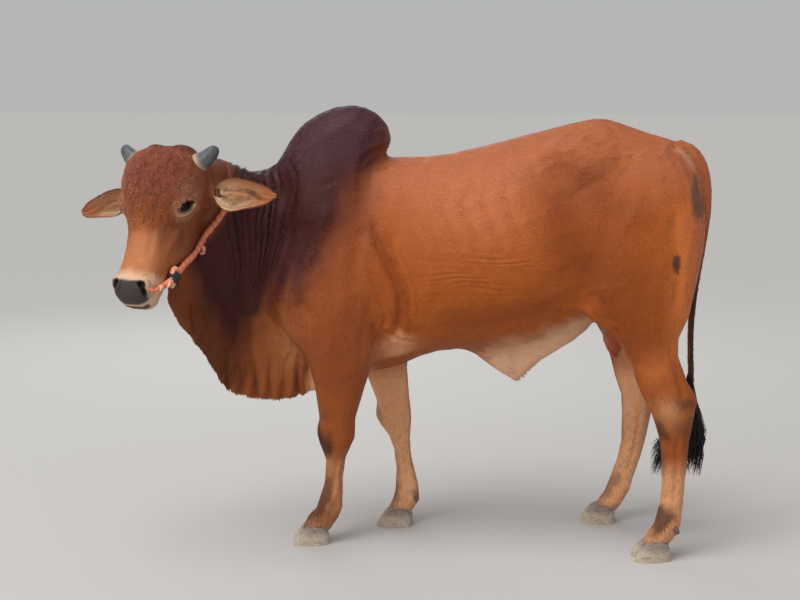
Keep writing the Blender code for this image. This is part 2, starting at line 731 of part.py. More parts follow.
def copy_of(obj, name):
    """A separate object with a copy of another's mesh."""
    twin = bpy.data.objects.new(name, obj.data.copy())
    bpy.context.scene.collection.objects.link(twin)
    return twin


def fattened(obj, by):
    """A copy of an object that stands out by a small distance all over."""
    twin = copy_of(obj, obj.name + "_wider")
    push = twin.modifiers.new("push", "DISPLACE")
    push.strength = by
    push.mid_level = 0.0
    settle(twin)
    return twin


def box(centre, size, turn):
    """A box turned about the line that runs across the body, in degrees."""
    rotation = Matrix.Rotation(math.radians(turn), 3, "Y")
    corners = [Vector(((x - 0.5) * size[0], (y - 0.5) * size[1], (z - 0.5) * size[2]))
               for x in (0, 1) for y in (0, 1) for z in (0, 1)]
    points = [Vector(centre) + rotation @ corner for corner in corners]
    faces = ((0, 1, 3, 2), (4, 6, 7, 5), (0, 4, 5, 1), (2, 3, 7, 6), (0, 2, 6, 4), (1, 5, 7, 3))
    return new_object("box", points, faces)


def head_wedge():
    """A prism across the head, its back faces at the nape and behind the jaw."""
    count = len(HEAD_WEDGE)
    points = [from_head((down, side * HEAD_WEDGE_HALF, out))
              for side in (-1, 1) for down, out in HEAD_WEDGE]
    faces = [tuple(range(count)), tuple(range(count, 2 * count))]
    faces += [(i, (i + 1) % count, count + (i + 1) % count, count + i) for i in range(count)]
    return new_object("wedge", points, faces)


def part_off(body, name, inside):
    """Takes the part of the body inside a shape into a node of its own, a gap away."""
    piece = copy_of(body, name)
    around = fattened(inside, CORNER_GAP)
    boolean(piece, inside, "INTERSECT")
    boolean(body, around, "DIFFERENCE")
    discard([inside, around])
    keep_largest(piece)
    return piece


# Hide

def tint(obj, colour, roughness=0.6):
    """Gives an object its own plain material."""
    material = bpy.data.materials.new(obj.name)
    material.use_nodes = True
    shader = material.node_tree.nodes["Principled BSDF"]
    shader.inputs["Base Color"].default_value = (*colour, 1.0)
    shader.inputs["Roughness"].default_value = roughness
    obj.data.materials.clear()
    obj.data.materials.append(material)


def near_head(points):
    """True where a point belongs to the head, in front of the throat."""
    return (points - np.array(THROAT)) @ unit(THROAT_FACES) > 0


def thinned(obj, keep, ratio):
    """Collapses faces only where keep is false, to a share of the whole count."""
    group = obj.vertex_groups.new(name="thin")
    for index in np.flatnonzero(~keep):
        group.add([int(index)], 1.0, "REPLACE")
    tool = obj.modifiers.new("thin", "DECIMATE")
    tool.ratio = ratio
    tool.vertex_group = "thin"
    tool.use_collapse_triangulate = True
    settle(obj)
    obj.vertex_groups.clear()


def hide():
    """The whole skin as one closed surface with a moderate number of faces."""
    skin = joined("hide", body_forms())
    tool = skin.modifiers.new("wrap", "REMESH")
    tool.mode = "VOXEL"
    tool.voxel_size = HIDE_VOXEL
    settle(skin)
    points = coordinates(skin.data)
    head = near_head(points)
    melt = np.clip((points[:, 2] - 0.52) / 0.20, 0, 1) * np.where(head, 0.0, 1.0)
    melt = melt * np.clip((points[:, 0] + 0.62) / 0.15, 0.25, 1)
    relax(skin.data, MELT_ROUNDS, melt, back=0.0)
    relax(skin.data, RELAX_ROUNDS, np.where(head | (points[:, 2] < 0.55), 0.35, 1.0))
    count = sum(len(face.vertices) - 2 for face in skin.data.polygons)
    head_count = int(count * np.mean(head))
    thinned(skin, head, (BODY_FACES + head_count) / count)
    count = sum(len(face.vertices) - 2 for face in skin.data.polygons)
    points = coordinates(skin.data)
    thinned(skin, ~near_head(points), (BODY_FACES + HEAD_FACES) / count)
    keep_largest(skin)
    return skin


# Head details

def unit(vector):
    """A vector at length one."""
    vector = np.array(vector, float)
    return vector / np.linalg.norm(vector)


def mirrored(vector, side):
    """A vector of the head's frame, for the left side (1) or the right (-1)."""
    return np.array((vector[0], vector[1] * side, vector[2]))


def eye_frame(side):
    """An eye's centre, and its directions: outward, along the slit and across it."""
    axes = head_axes()
    look = unit(mirrored(EYE_LOOK, side) @ axes)
    slit = mirrored(EYE_SLIT, side) @ axes
    slit = unit(slit - look * (slit @ look))
    return from_head(mirrored(EYE_CENTRE, side)), look, slit, np.cross(look, slit)


def lid_opening(side):
    """The almond opening between the lids, widening outward from the eyeball."""
    centre, look, slit, across = eye_frame(side)
    reach = np.linspace(0.3, 1.7, 4)
    centres = centre + EYE_RADIUS * reach[:, None] * look
    wide = 0.75 + 0.25 * reach
    return tube(centres, repeat(slit, 4), repeat(across, 4), EYE_OPENING[0] * wide,
                EYE_OPENING[0] * wide, EYE_OPENING[1] * wide, power=1.7, ring=16)


def eyeball(side, radius):
    """A globe at an eye's centre."""
    return ellipsoid(eye_frame(side)[0], np.eye(3), (radius, radius, radius), rings=8, ring=12)


def ear_form(side):
    """A cupped leaf: an outer and an inner sheet joined along their rims."""
    axes = head_axes()
    base = from_head(mirrored(EAR_BASES[side], side))
    tip = from_head(mirrored(EAR_TIPS[side], side))
    along = unit(tip - base)
    face = np.array(EAR_FACE) @ axes
    face = unit(face - along * (face @ along))
    across = np.cross(along, face)
    count, columns = 10, 9
    rows = smooth_rows(EAR_SECTIONS, count)
    wrap = np.radians(rows[:, 1])
    bend = rows[:, 0] / wrap
    angle = np.linspace(-1, 1, columns)[None, :] * wrap[:, None]
    middle = base + (tip - base) * np.linspace(0, 1, count)[:, None] ** 0.9
    sheets = []
    for radius in (bend, np.maximum(bend - EAR_THICK, bend * 0.35)):
        swing = radius[:, None, None] * (across * np.sin(angle)[..., None]
                                         - face * np.cos(angle)[..., None])
        sheets.append(middle[:, None] + face * bend[:, None, None] + swing)
    points = np.concatenate([sheet.reshape(-1, 3) for sheet in sheets])
    inner = count * columns
    faces = []
    for row in range(count - 1):
        for column in range(columns - 1):
            a = row * columns + column
            faces.append((a, a + 1, a + columns + 1, a + columns))
            faces.append((inner + a, inner + a + columns, inner + a + columns + 1, inner + a + 1))
        for a, flip in ((row * columns, 1), (row * columns + columns - 1, -1)):
            rim = (a, a + columns, inner + a + columns, inner + a)
            faces.append(rim[::flip])
    for column in range(columns - 1):
        for a, flip in ((column, -1), ((count - 1) * columns + column, 1)):
            end = (a, a + 1, inner + a + 1, inner + a)
            faces.append(end[::flip])
    return points, faces


def horn_form(side):
    """A short blunt horn."""
    rows = smooth_rows([(*mirrored(row[:3], side), row[3]) for row in HORN], 8)
    return pipe(from_head(rows[:, :3]), rows[:, 3], hint=(0, 0, 1), ring=12)


def surface_hit(tree, start, direction):
    """The last point where a line from inside leaves the surface."""
    hit, _, _, _ = tree.ray_cast(Vector(start), Vector(direction))
    return np.array(hit)


def mouth_form(skin):
    """A cord let into the skin along the line of the lips."""
    tree = BVHTree.FromObject(skin, bpy.context.evaluated_depsgraph_get())
    axes = head_axes()
    start = from_head(MOUTH_CENTRE)
    path = []
    for angle in np.radians(np.linspace(-MOUTH_SWING, MOUTH_SWING, 21)):
        lift = MOUTH_RISE * (abs(angle) / math.radians(MOUTH_SWING)) ** 2
        direction = np.array((math.cos(angle), math.sin(angle), -lift)) @ axes
        path.append(surface_hit(tree, start, direction))
    return pipe(path, MOUTH_GROOVE, hint=axes[2], ring=6)


def nostril_form(side):
    """A slanted hollow in the side of the nose."""
    down, left, out = head_axes()
    slant = unit(down * 0.55 + left * side * 0.83)
    through = unit(out * 0.75 + left * side * 0.66)
    across = np.cross(slant, through)
    through = np.cross(across, slant)
    return ellipsoid(from_head(mirrored(NOSTRIL, side)), (slant, across, through),
                     (0.0165, 0.0085, 0.022))


# Halter

def halter_path(tree, side):
    """The rope's middle line, kept clear of the skin and led into the nostril."""
    rows = smooth_rows([mirrored(row, side) for row in HALTER], 30)
    path = from_head(rows)
    stand = ROPE_RADIUS + ROPE_LIFT
    for _ in range(4):
        laid = []
        for point in path:
            spot, normal, _, _ = tree.find_nearest(Vector(point))
            spot, normal = np.array(spot), np.array(normal)
            clear = (point - spot) @ normal
            laid.append(point + normal * max(stand - clear, 0.0))
        path = np.array(laid)
        path[1:-1] = (path[:-2] + 2 * path[1:-1] + path[2:]) / 4
    spare = np.array([tree.find_nearest(Vector(point))[3] for point in path])
    keep = spare > stand * 0.3
    start = from_head(mirrored((HALTER[0][0], GAP / 2, HALTER[0][2]), side))
    start = start + head_axes()[2] * ((path[0] - start) @ head_axes()[2])
    nostril = from_head(mirrored(NOSTRIL, side))
    inward = head_axes()[2] * -0.012
    return np.concatenate([[start], path[1:][keep[1:]], [nostril, nostril + inward]])


def down_the_head(path, distance):
    """The point of a path that is a given distance down from the poll."""
    along = (path - POLL) @ head_axes()[0]
    return path[int(np.argmin(np.abs(along - distance)))]


def halter_form(side, tree):
    """One side of the halter: the rope with its knots by the mouth's corner."""
    path = halter_path(tree, side)
    below = (path - POLL) @ head_axes()[0]
    thin = np.clip((below - HALTER_KNOTS[0][0]) / 0.02, 0, 1)
    thickness = ROPE_RADIUS + (NOSE_ROPE_RADIUS - ROPE_RADIUS) * thin
    rope = new_object("rope", *pipe(path, thickness, hint=(0.3, 0.2, 1.0), ring=7))
    knots = []
    for distance, radius in HALTER_KNOTS:
        stand = radius - ROPE_RADIUS / 2
        middle = down_the_head(path, distance) + head_axes()[1] * side * stand
        knots.append(new_object("knot", *ellipsoid(middle, head_axes(), (radius,) * 3,
                                                   rings=5, ring=8)))
    boolean(rope, knots, "UNION")
    discard(knots)
    return rope, path


def halter(skin, wider):
    """Both sides of the rope and the dark strip tied round the left one."""
    tree = BVHTree.FromObject(skin, bpy.context.evaluated_depsgraph_get())
    pieces = []
    for side, word in ((1, "left"), (-1, "right")):
        rope, path = halter_form(side, tree)
        boolean(rope, wider, "DIFFERENCE")
        keep_largest(rope)
        rope.name = "halter_" + word
        tint(rope, ROPE_ORANGE, 0.8)
        pieces.append(rope)
        if side == 1:
            place_at = down_the_head(path, STRIP_AT)
    rope_wider = fattened(pieces[0], GAP)
    strip = new_object("halter_strip", *ellipsoid(place_at, head_axes(), STRIP_RADII,
                                                  rings=6, ring=10))
    boolean(strip, [rope_wider], "DIFFERENCE")
    boolean(strip, [wider], "DIFFERENCE")
    discard([rope_wider])
    keep_largest(strip)
    tint(strip, STRIP_DARK, 0.5)
    return pieces + [strip]


# Feet and tail

def claw_form(foot, inner):
    """One hoof claw, flat below; inner is 1 or -1 across the foot."""
    x, y, turn = FEET[foot]
    rows = smooth_rows(CLAW, 6)
    rows[:, 0] = np.maximum(rows[:, 0], 0)
    angle = math.radians(turn + 4.0 * inner)
    ahead = np.array((-math.cos(angle), math.sin(angle), 0.0))
    side = np.array((math.sin(angle), math.cos(angle), 0.0))
    middle = np.array((x, y, 0.0)) + side * CLAW_APART * inner
    count = len(rows)
    centres = middle + rows[:, :1] * np.array((0.0, 0.0, 1.0))
    return tube(centres, repeat(ahead, count), repeat(side, count),
                rows[:, 1], rows[:, 2], rows[:, 3], power=2.2, ring=12)


def dewclaw_form(foot, inner):
    """One small blunt claw behind the fetlock."""
    x, y = FEET[foot][:2]
    behind, height = DEWCLAWS[foot]
    tilt = Matrix.Rotation(math.radians(35), 3, "Y")
    return ellipsoid((x + behind, y + 0.021 * inner, height), np.array(tilt.transposed()),
                     (0.017, 0.013, 0.020), rings=4, ring=8)


def tail_forms():
    """The tail in two lengths, a gap apart."""
    rows = smooth_rows([(x, 0.0, z, radius) for x, z, radius in TAIL], 28)
    split = 16
    upper = pipe(rows[:split + 1, :3], rows[:split + 1, 3])
    rows[split, 2] -= GAP
    lower = pipe(rows[split:, :3], rows[split:, 3])
    return upper, lower


def switch_core():
    """The short solid heart of the tail's tuft."""
    rows = smooth_rows(SWITCH_CORE, 7)
    count = len(rows)
    centres = np.stack([rows[:, 0], np.zeros(count), rows[:, 1]], axis=1)
    return tube(centres, repeat((1, 0, 0), count), repeat((0, 1, 0), count),
                rows[:, 2], rows[:, 2], rows[:, 3], ring=10)


def spread(limits, share):
    """The value at a share of the way between two limits."""
    return limits[0] + (limits[1] - limits[0]) * share


def switch_locks():
    """Flat tapered locks, from the core out and down to their tips."""
    draw = np.random.default_rng(LOCK_SEED)
    forms = []
    for number in range(LOCK_COUNT):
        share = (number + draw.uniform(0.2, 0.8)) / LOCK_COUNT
        aside = draw.uniform(-1, 1)
        root_height = draw.uniform(*LOCK_ROOTS_Z)
        tip = np.array((spread(LOCK_TIPS_X, share), LOCK_SPREAD * 0.6 * aside,
                        draw.uniform(*LOCK_TIPS_Z)))
        belly = np.array((spread(LOCK_BELLIES_X, share), LOCK_SPREAD * aside,
                          draw.uniform(*LOCK_BELLIES_Z)))
        root = np.array((spread(LOCK_ROOTS_X, share), LOCK_SPREAD * 0.12 * aside, root_height))
        path = smooth_rows([root, (root + belly) / 2, belly, (belly + tip) / 2, tip],
                           len(LOCK_TAPER))
        face = np.array((spread((-0.3, 0.3), share), aside + 0.2, 0.0))
        up, side = path_frames(path, unit(face))
        wide = LOCK_WIDTH * draw.uniform(0.8, 1.2) * LOCK_TAPER
        thick = LOCK_THICK * LOCK_TAPER
        forms.append(tube(path, up, side, thick, thick, wide, ring=4))
    return forms


def switch():
    """The tail's tuft: the locks and their core fused into one body."""
    tuft = new_object("tail_switch", *switch_core())
    locks = [new_object("lock", *form) for form in switch_locks()]
    boolean(tuft, locks, "UNION")
    discard(locks)
    keep_largest(tuft)
    return tuft


# Assembly

def trimmed(name, form, wider):
    """A piece cut clear of the skin that it grows from."""
    piece = new_object(name, *form)
    boolean(piece, wider, "DIFFERENCE")
    keep_largest(piece)
    return piece


def build():
    """Makes every node."""
    for old in list(bpy.data.objects):
        bpy.data.objects.remove(old)
    skin = hide()
    cutters = [new_object("groove", *mouth_form(skin))]
    cutters += [new_object("nostril", *nostril_form(side)) for side in (1, -1)]
    for side in (1, -1):
        cutters.append(new_object("socket", *eyeball(side, EYE_RADIUS + GAP)))
        cutters.append(new_object("opening", *lid_opening(side)))
    boolean(skin, cutters, "DIFFERENCE")
    discard(cutters)
    wider = fattened(skin, GAP)
    nodes = []
    for side, word in ((1, "left"), (-1, "right")):
        nodes.append(trimmed("ear_" + word, ear_form(side), wider))
        tint(nodes[-1], EAR_TAN)
        nodes.append(trimmed("horn_" + word, horn_form(side), wider))
        tint(nodes[-1], HORN_GREY, 0.5)
        eye = new_object("eye_" + word, *eyeball(side, EYE_RADIUS))
        tint(eye, EYE_DARK, 0.1)
        nodes.append(eye)
    nodes += halter(skin, wider)
    for foot in FEET:
        for inner, word in ((1, "inner"), (-1, "outer")):
            if foot.endswith("right"):
                word = {"inner": "outer", "outer": "inner"}[word]
            nodes.append(trimmed(f"claw_{foot}_{word}", claw_form(foot, inner), wider))
            tint(nodes[-1], HORN_GREY, 0.6)
            nodes.append(trimmed(f"dewclaw_{foot}_{word}", dewclaw_form(foot, inner), wider))
            tint(nodes[-1], HORN_GREY, 0.6)
    for name, form in zip(("tail_upper", "tail_lower"), tail_forms()):
        nodes.append(trimmed(name, form, wider))
        tint(nodes[-1], HIDE_RED)
    tail_wider = fattened(nodes[-1], GAP)
    tuft = switch()
    boolean(tuft, tail_wider, "DIFFERENCE")
    keep_largest(tuft)
    tint(tuft, SWITCH_BLACK)
    nodes.append(tuft)
    discard([wider, tail_wider])
    regions = [("head", head_wedge())] + [(name, box(*region)) for name, region in REGIONS]
    for name, inside in regions:
        nodes.append(part_off(skin, name, inside))
        tint(nodes[-1], HIDE_RED)
    keep_largest(skin)
    skin.name = "torso"
    tint(skin, HIDE_RED)
    nodes.append(skin)
    return nodes


def rest_on_origin(nodes):
    """Moves everything so that the origin is under the middle of the model."""
    corners = np.concatenate([coordinates(node.data) for node in nodes])
    low, high = corners.min(axis=0), corners.max(axis=0)
    shift = Vector(((low[0] + high[0]) / 2, (low[1] + high[1]) / 2, low[2]))
    for node in nodes:
        node.data.transform(Matrix.Translation(-shift))


rest_on_origin(build())
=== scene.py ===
"""A young humped zebu bull at life size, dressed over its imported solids.

One skin is drawn over the nodes of flesh, folded and coloured in code, with a coat of
short tufts over it. Lids, eyes, ears, horns, claws, halter and tail tuft are pieces of
their own. Places are in the solids' own modelling frame, in metres: +Z up, floor at 0,
the bull faces -X and its left side is at -Y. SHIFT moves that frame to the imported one.
"""

import math

import bmesh
import bpy
import numpy as np
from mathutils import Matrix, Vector
from mathutils.bvhtree import BVHTree


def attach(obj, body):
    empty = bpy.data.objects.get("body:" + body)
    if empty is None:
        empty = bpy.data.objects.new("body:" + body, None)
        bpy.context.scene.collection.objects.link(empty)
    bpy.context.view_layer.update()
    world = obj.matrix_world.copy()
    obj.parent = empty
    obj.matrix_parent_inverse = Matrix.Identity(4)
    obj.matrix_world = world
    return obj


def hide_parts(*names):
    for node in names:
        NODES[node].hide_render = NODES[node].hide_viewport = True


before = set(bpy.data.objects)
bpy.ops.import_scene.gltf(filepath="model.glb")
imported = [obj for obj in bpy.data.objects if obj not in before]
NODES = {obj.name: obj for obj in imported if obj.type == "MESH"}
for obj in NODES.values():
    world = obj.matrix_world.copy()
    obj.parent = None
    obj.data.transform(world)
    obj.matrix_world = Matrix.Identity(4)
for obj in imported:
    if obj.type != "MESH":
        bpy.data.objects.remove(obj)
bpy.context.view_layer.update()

# Camera, as the photograph was taken: place, turn in degrees and lens
CAMERA_PLACE = (0.358, -5.124, 1.599)
CAMERA_TURN = (81.507, 0.0, 4.0)
CAMERA_LENS = 67.5
CAMERA_SENSOR = 36.0

# Head frame: the poll, and how far the face turns, hangs and rolls, in degrees
POLL = np.array((-0.749, -0.34, 1.366))
HEAD_TURN = 24.0
HEAD_HANG = 25.0
HEAD_ROLL = 0.8

# Eyes in the head's frame, for the left side
EYE_RADIUS = 0.0230
EYE_CENTRE = (0.184, 0.1130, -0.041)
EYE_LOOK = (-0.05, 0.84, 0.54)
EYE_SLIT = (-0.82, 0.43, -0.36)
LID_LENGTH = 0.0222
LID_UPPER = 0.0150
LID_LOWER = 0.0122

# Nodes of flesh that the skin stands for
FLESH = ("torso", "neck", "hump", "head", "foreleg_left", "foreleg_right", "hindleg_left",
         "hindleg_right", "cannon_fore_left", "cannon_fore_right", "cannon_hind_left",
         "cannon_hind_right", "tail_upper", "tail_lower")
SKIN_VOXEL = 0.006
COAT_DEPTH = 0.002
GAP_FILL = 0.0004

# Where the head begins: a point of that plane, and the way it faces
THROAT = (-0.63, -0.19, 1.17)
THROAT_FACES = (-0.45, -0.70, 0.55)

NOSTRIL = (0.459, 0.055, 0.004)
MOUTH_CENTRE = (0.425, 0.0, -0.070)
MOUTH_SWING = 108.0
MOUTH_RISE = 0.28

# Both sides, as the sign of places given for the left, and as a word
SIDES = ((1, "left"), (-1, "right"))


# Frames and small sums

def unit(vector):
    """A vector, or each row of vectors, at length one."""
    vector = np.array(vector, float)
    return vector / np.maximum(np.linalg.norm(vector, axis=-1, keepdims=True), 1e-12)


def head_axes():
    """The head's own directions: down the face, to its left, and out of the face."""
    turn, hang = math.radians(HEAD_TURN), math.radians(HEAD_HANG)
    ahead = np.array((-math.sin(turn), -math.cos(turn), 0.0))
    left = np.array((math.cos(turn), -math.sin(turn), 0.0))
    up = np.array((0.0, 0.0, 1.0))
    down = ahead * math.sin(hang) - up * math.cos(hang)
    out = ahead * math.cos(hang) + up * math.sin(hang)
    roll = math.radians(HEAD_ROLL)
    lower = down * math.cos(roll) + left * math.sin(roll)
    left = left * math.cos(roll) - down * math.sin(roll)
    return np.array((lower, left, out))


AXES = head_axes()


def from_head(points):
    """Design places of points given in the head's own frame."""
    return POLL + np.array(points, float) @ AXES


def to_head(points):
    """Places in the head's own frame."""
    return (points - POLL) @ AXES.T


def mirrored(vector, side):
    """A vector given for the left side (1), or turned over for the right (-1)."""
    return np.array((vector[0], vector[1] * side, vector[2]))


def measured(points, centre, *ways):
    """How far each point lies from a centre along each of some directions."""
    return [(points - centre) @ way for way in ways]


def in_oval(points, centre, ways, radii, near):
    """Whether each point lies in an oval on the skin, and near its centre."""
    s, t = measured(points, centre, *ways)
    oval = (s / radii[0]) ** 2 + (t / radii[1]) ** 2
    return (oval < 1) & (np.linalg.norm(points - centre, axis=1) < near)


def soft(value, low, high):
    """A smooth step from 0 at low to 1 at high, in either direction."""
    t = np.clip((value - low) / (high - low), 0, 1)
    return t * t * (3 - 2 * t)


def hump(value, middle, width):
    """A bell of height 1 round a middle."""
    return np.exp(-((value - middle) / width) ** 2)


def smooth_rows(rows, count):
    """Rows of values, resampled along a smooth curve through all of them."""
    rows = np.array(rows, float)
    at = np.linspace(0, len(rows) - 1, count)
    low = np.clip(at.astype(int), 0, len(rows) - 2)
    t = (at - low)[:, None]
    before = rows[np.clip(low - 1, 0, None)]
    start = rows[low]
    end = rows[low + 1]
    after = rows[np.clip(low + 2, None, len(rows) - 1)]
    cubic = 3 * (start - end) + after - before
    square = 2 * before - 5 * start + 4 * end - after
    return start + 0.5 * t * (end - before + t * (square + t * cubic))


def waves(points, spacing, seed):
    """Smooth noise from -1 to 1, the sum of a few slanted waves."""
    draw = np.random.default_rng(seed)
    total = np.zeros(len(points))
    for _ in range(7):
        way = unit(draw.normal(size=3))
        total += np.sin(points @ way * 2 * math.pi / (spacing * draw.uniform(0.7, 1.6))
                        + draw.uniform(0, 6.28))
    return total / 3.5


def eye_frame(side):
    """An eye's centre, and its directions: outward, along the slit and across it."""
    look = unit(mirrored(EYE_LOOK, side) @ AXES)
    slit = mirrored(EYE_SLIT, side) @ AXES
    slit = unit(slit - look * (slit @ look))
    return from_head(mirrored(EYE_CENTRE, side)), look, slit, np.cross(look, slit) * side


# Meshes

def numbers(items, name, wide, kind=float):
    """One setting of each item of a mesh, as the rows of an array."""
    flat = np.empty(len(items) * wide, kind)
    items.foreach_get(name, flat)
    return flat.reshape(-1, wide)


def coordinates(mesh):
    """A mesh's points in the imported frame."""
    return numbers(mesh.vertices, "co", 3)


def triangles(mesh):
    """A mesh's triangles as an array of point numbers."""
    mesh.calc_loop_triangles()
    return numbers(mesh.loop_triangles, "vertices", 3, int)


def welded(name):
    """A node's points and triangles, with points that share a place joined."""
    points = coordinates(NODES[name].data)
    corners = triangles(NODES[name].data)
    _, first, same = np.unique(np.round(points, 5), axis=0, return_index=True,
                               return_inverse=True)
    corners = same.ravel()[corners]
    real = (corners[:, 0] != corners[:, 1]) & (corners[:, 1] != corners[:, 2])
    real &= corners[:, 0] != corners[:, 2]
    return points[first], corners[real]


SHIFT = welded("eye_left")[0].mean(axis=0) - eye_frame(1)[0]


def places(mesh):
    """A mesh's points in the solids' own modelling frame."""
    return coordinates(mesh) - SHIFT


def point_normals(points, corners):
    """Outward directions at the points of a triangle mesh."""
    a, b, c = points[corners[:, 0]], points[corners[:, 1]], points[corners[:, 2]]
    face = np.cross(b - a, c - a)
    normals = np.zeros_like(points)
    for corner in range(3):
        np.add.at(normals, corners[:, corner], face)
    return unit(normals)


def new_mesh(name, *parts):
    """One mesh from pairs of points and faces; the faces of a pair have equal corner counts."""
    mesh = bpy.data.meshes.new(name)
    points = np.concatenate([np.array(part, float) for part, _ in parts]) + SHIFT
    loops, starts, start, at = [], [], 0, 0
    for part, faces in parts:
        faces = np.array(faces, int)
        loops.append((faces + start).ravel())
        starts.append(at + np.arange(len(faces)) * faces.shape[1])
        at += faces.size
        start += len(part)
    mesh.vertices.add(len(points))
    mesh.vertices.foreach_set("co", points.ravel())
    mesh.loops.add(at)
    mesh.loops.foreach_set("vertex_index", np.concatenate(loops))
    starts = np.concatenate(starts)
    mesh.polygons.add(len(starts))
    mesh.polygons.foreach_set("loop_start", starts)
    mesh.update(calc_edges=True)
    mesh.shade_smooth()
    return mesh


def new_object(name, mesh):
    """An object in the scene."""
    obj = bpy.data.objects.new(name, mesh)
    bpy.context.scene.collection.objects.link(obj)
    return obj


def paint(mesh, colours):
    """Gives each point of a mesh its colour, in linear light."""
    layer = mesh.color_attributes.new("tint", "FLOAT_COLOR", "POINT")
    rgba = np.ones((len(colours), 4))
    rgba[:, :3] = colours
    layer.data.foreach_set("color", rgba.ravel())
    mesh.color_attributes.active_color = layer


def grid(rows, ring, closed=True):
    """Quads of a grid of points, joined round each row where it is closed."""
    steps = ring if closed else ring - 1
    row, step = np.meshgrid(np.arange(rows - 1), np.arange(steps), indexing="ij")
    following = (step + 1) % ring
    return np.stack([row * ring + step, row * ring + following,
                     (row + 1) * ring + following, (row + 1) * ring + step],
                    axis=-1).reshape(-1, 4)


def turns(count):
    """Even angles round a full turn."""
    return np.arange(count) * 2 * math.pi / count


def settle(obj):
    """Applies an object's modifiers."""
    graph = bpy.context.evaluated_depsgraph_get()
    mesh = bpy.data.meshes.new_from_object(obj.evaluated_get(graph))
    obj.modifiers.clear()
    obj.data = mesh


def ellipsoid(centre, axes, radii, rings=16, ring=24):
    """Points and triangles of an ellipsoid."""
    bend = np.linspace(0, math.pi, rings + 2)[1:-1]
    turn = turns(ring)
    ball = np.stack([np.outer(np.sin(bend), np.cos(turn)), np.outer(np.sin(bend), np.sin(turn)),
                     np.outer(np.cos(bend), np.ones(ring))], axis=-1).reshape(-1, 3)
    ball = np.concatenate([ball, [(0, 0, 1), (0, 0, -1)]])
    faces = grid(rings, ring)
    faces = np.concatenate([faces[:, [0, 1, 2]], faces[:, [0, 2, 3]]])
    steps = np.arange(ring)
    after = (steps + 1) % ring
    top = np.stack([after, steps, np.full(ring, rings * ring)], axis=1)
    last = (rings - 1) * ring
    low = np.stack([last + steps, last + after, np.full(ring, rings * ring + 1)], axis=1)
    return np.array(centre) + (ball * radii) @ np.array(axes), np.concatenate([faces, top, low])


def tree_of(mesh):
    """A search tree over a mesh, in the design frame."""
    return BVHTree.FromPolygons(places(mesh).tolist(), triangles(mesh).tolist())


def frames_along(path, hint):
    """Directions across and above a path of points, square to it."""
    along = unit(np.gradient(path, axis=0))
    side = unit(np.cross(along, hint))
    return side, np.cross(side, along)


def travel_along(path):
    """How far along a path each of its points lies."""
    return np.concatenate([[0], np.cumsum(np.linalg.norm(np.diff(path, axis=0), axis=1))])


def end_caps(count, ring):
    """Quads that close both ends of a grid whose rings have an even number of points."""
    caps = []
    base = (count - 1) * ring
    for step in range(1, ring - 1, 2):
        caps.append((0, step + 2, step + 1, step))
        caps.append((base, base + step, base + step + 1, base + step + 2))
    return np.array(caps)


def tube(path, radius, ring=8, hint=(0.3, 0.2, 1.0), flat=1.0):
    """Points and quads of a round or flattened tube with closed ends."""
    path = np.array(path, float)
    side, up = frames_along(path, hint)
    radius = np.broadcast_to(radius, len(path))[:, None, None]
    turn = turns(ring)[None, :, None]
    points = path[:, None] + radius * (side[:, None] * np.cos(turn) + up[:, None] * np.sin(turn) * flat)
    return points.reshape(-1, 3), np.concatenate([grid(len(path), ring), end_caps(len(path), ring)])


# Bounds and layers, which set where folds, colours and hair begin and end

def bounded(values, steps):
    """The product of a row of steps, at each point.

    A step is the name of a plain share, or a name and two numbers: the value's soft start and
    end, or a bell's middle and width where the name begins with a wave.
    """
    share = 1.0
    for step in steps:
        if isinstance(step, str):
            share = share * values[step]
        elif step[0][0] == "~":
            share = share * hump(values[step[0][1:]], step[1], step[2])
        else:
            share = share * soft(values[step[0]], step[1], step[2])
    return share


def blend(base, colour, share):
    """Moves colours or directions towards another by a share at each point."""
    share = np.clip(share, 0, 1)[:, None]
    return base * (1 - share) + np.asarray(colour) * share


def layered(base, values, layers):
    """Colours or directions after layers, each with its own, its share and its steps."""
    for colour, most, *steps in layers:
        base = blend(base, colour, bounded(values, steps) * most)
    return base


# Skin

RELAX_FORWARD = 0.5
RELAX_BACK = -0.52


def relax(points, ends, rounds, weight):
    """Evens out a surface, each point by its own weight; steps back undo the shrinking."""
    total = len(points)
    degree = np.bincount(ends.ravel(), minlength=total)[:, None]
    for step in range(rounds * 2):
        force = RELAX_FORWARD if step % 2 == 0 else RELAX_BACK
        near = np.stack([np.bincount(ends[:, 0], points[ends[:, 1], axis], total)
                         + np.bincount(ends[:, 1], points[ends[:, 0], axis], total)
                         for axis in range(3)], axis=1)
        points = points + force * weight[:, None] * (near / degree - points)
    return points


def edge_ends(mesh):
    """The point numbers of each edge."""
    return numbers(mesh.edges, "vertices", 2, int)


def place(mesh, points):
    """Sets a mesh's points from an array in the design frame."""
    mesh.vertices.foreach_set("co", (points + SHIFT).ravel())
    mesh.update()


def near_head(points):
    """How far each point is in front of the throat's plane."""
    return (points - np.array(THROAT)) @ unit(THROAT_FACES)


def nostril_frame(side):
    """A nostril's centre, and its directions: along the slit, across it and outward."""
    down, left, out = AXES
    slant = unit(down * 0.55 + left * side * 0.83)
    through = unit(out * 0.75 + left * side * 0.66)
    across = np.cross(slant, through)
    return from_head(mirrored(NOSTRIL, side)), slant, across, np.cross(across, slant)


EYE_FILL = 0.0262
NOSTRIL_FILL = (0.019, 0.011, 0.013)
NOSTRIL_SUNK = 0.010


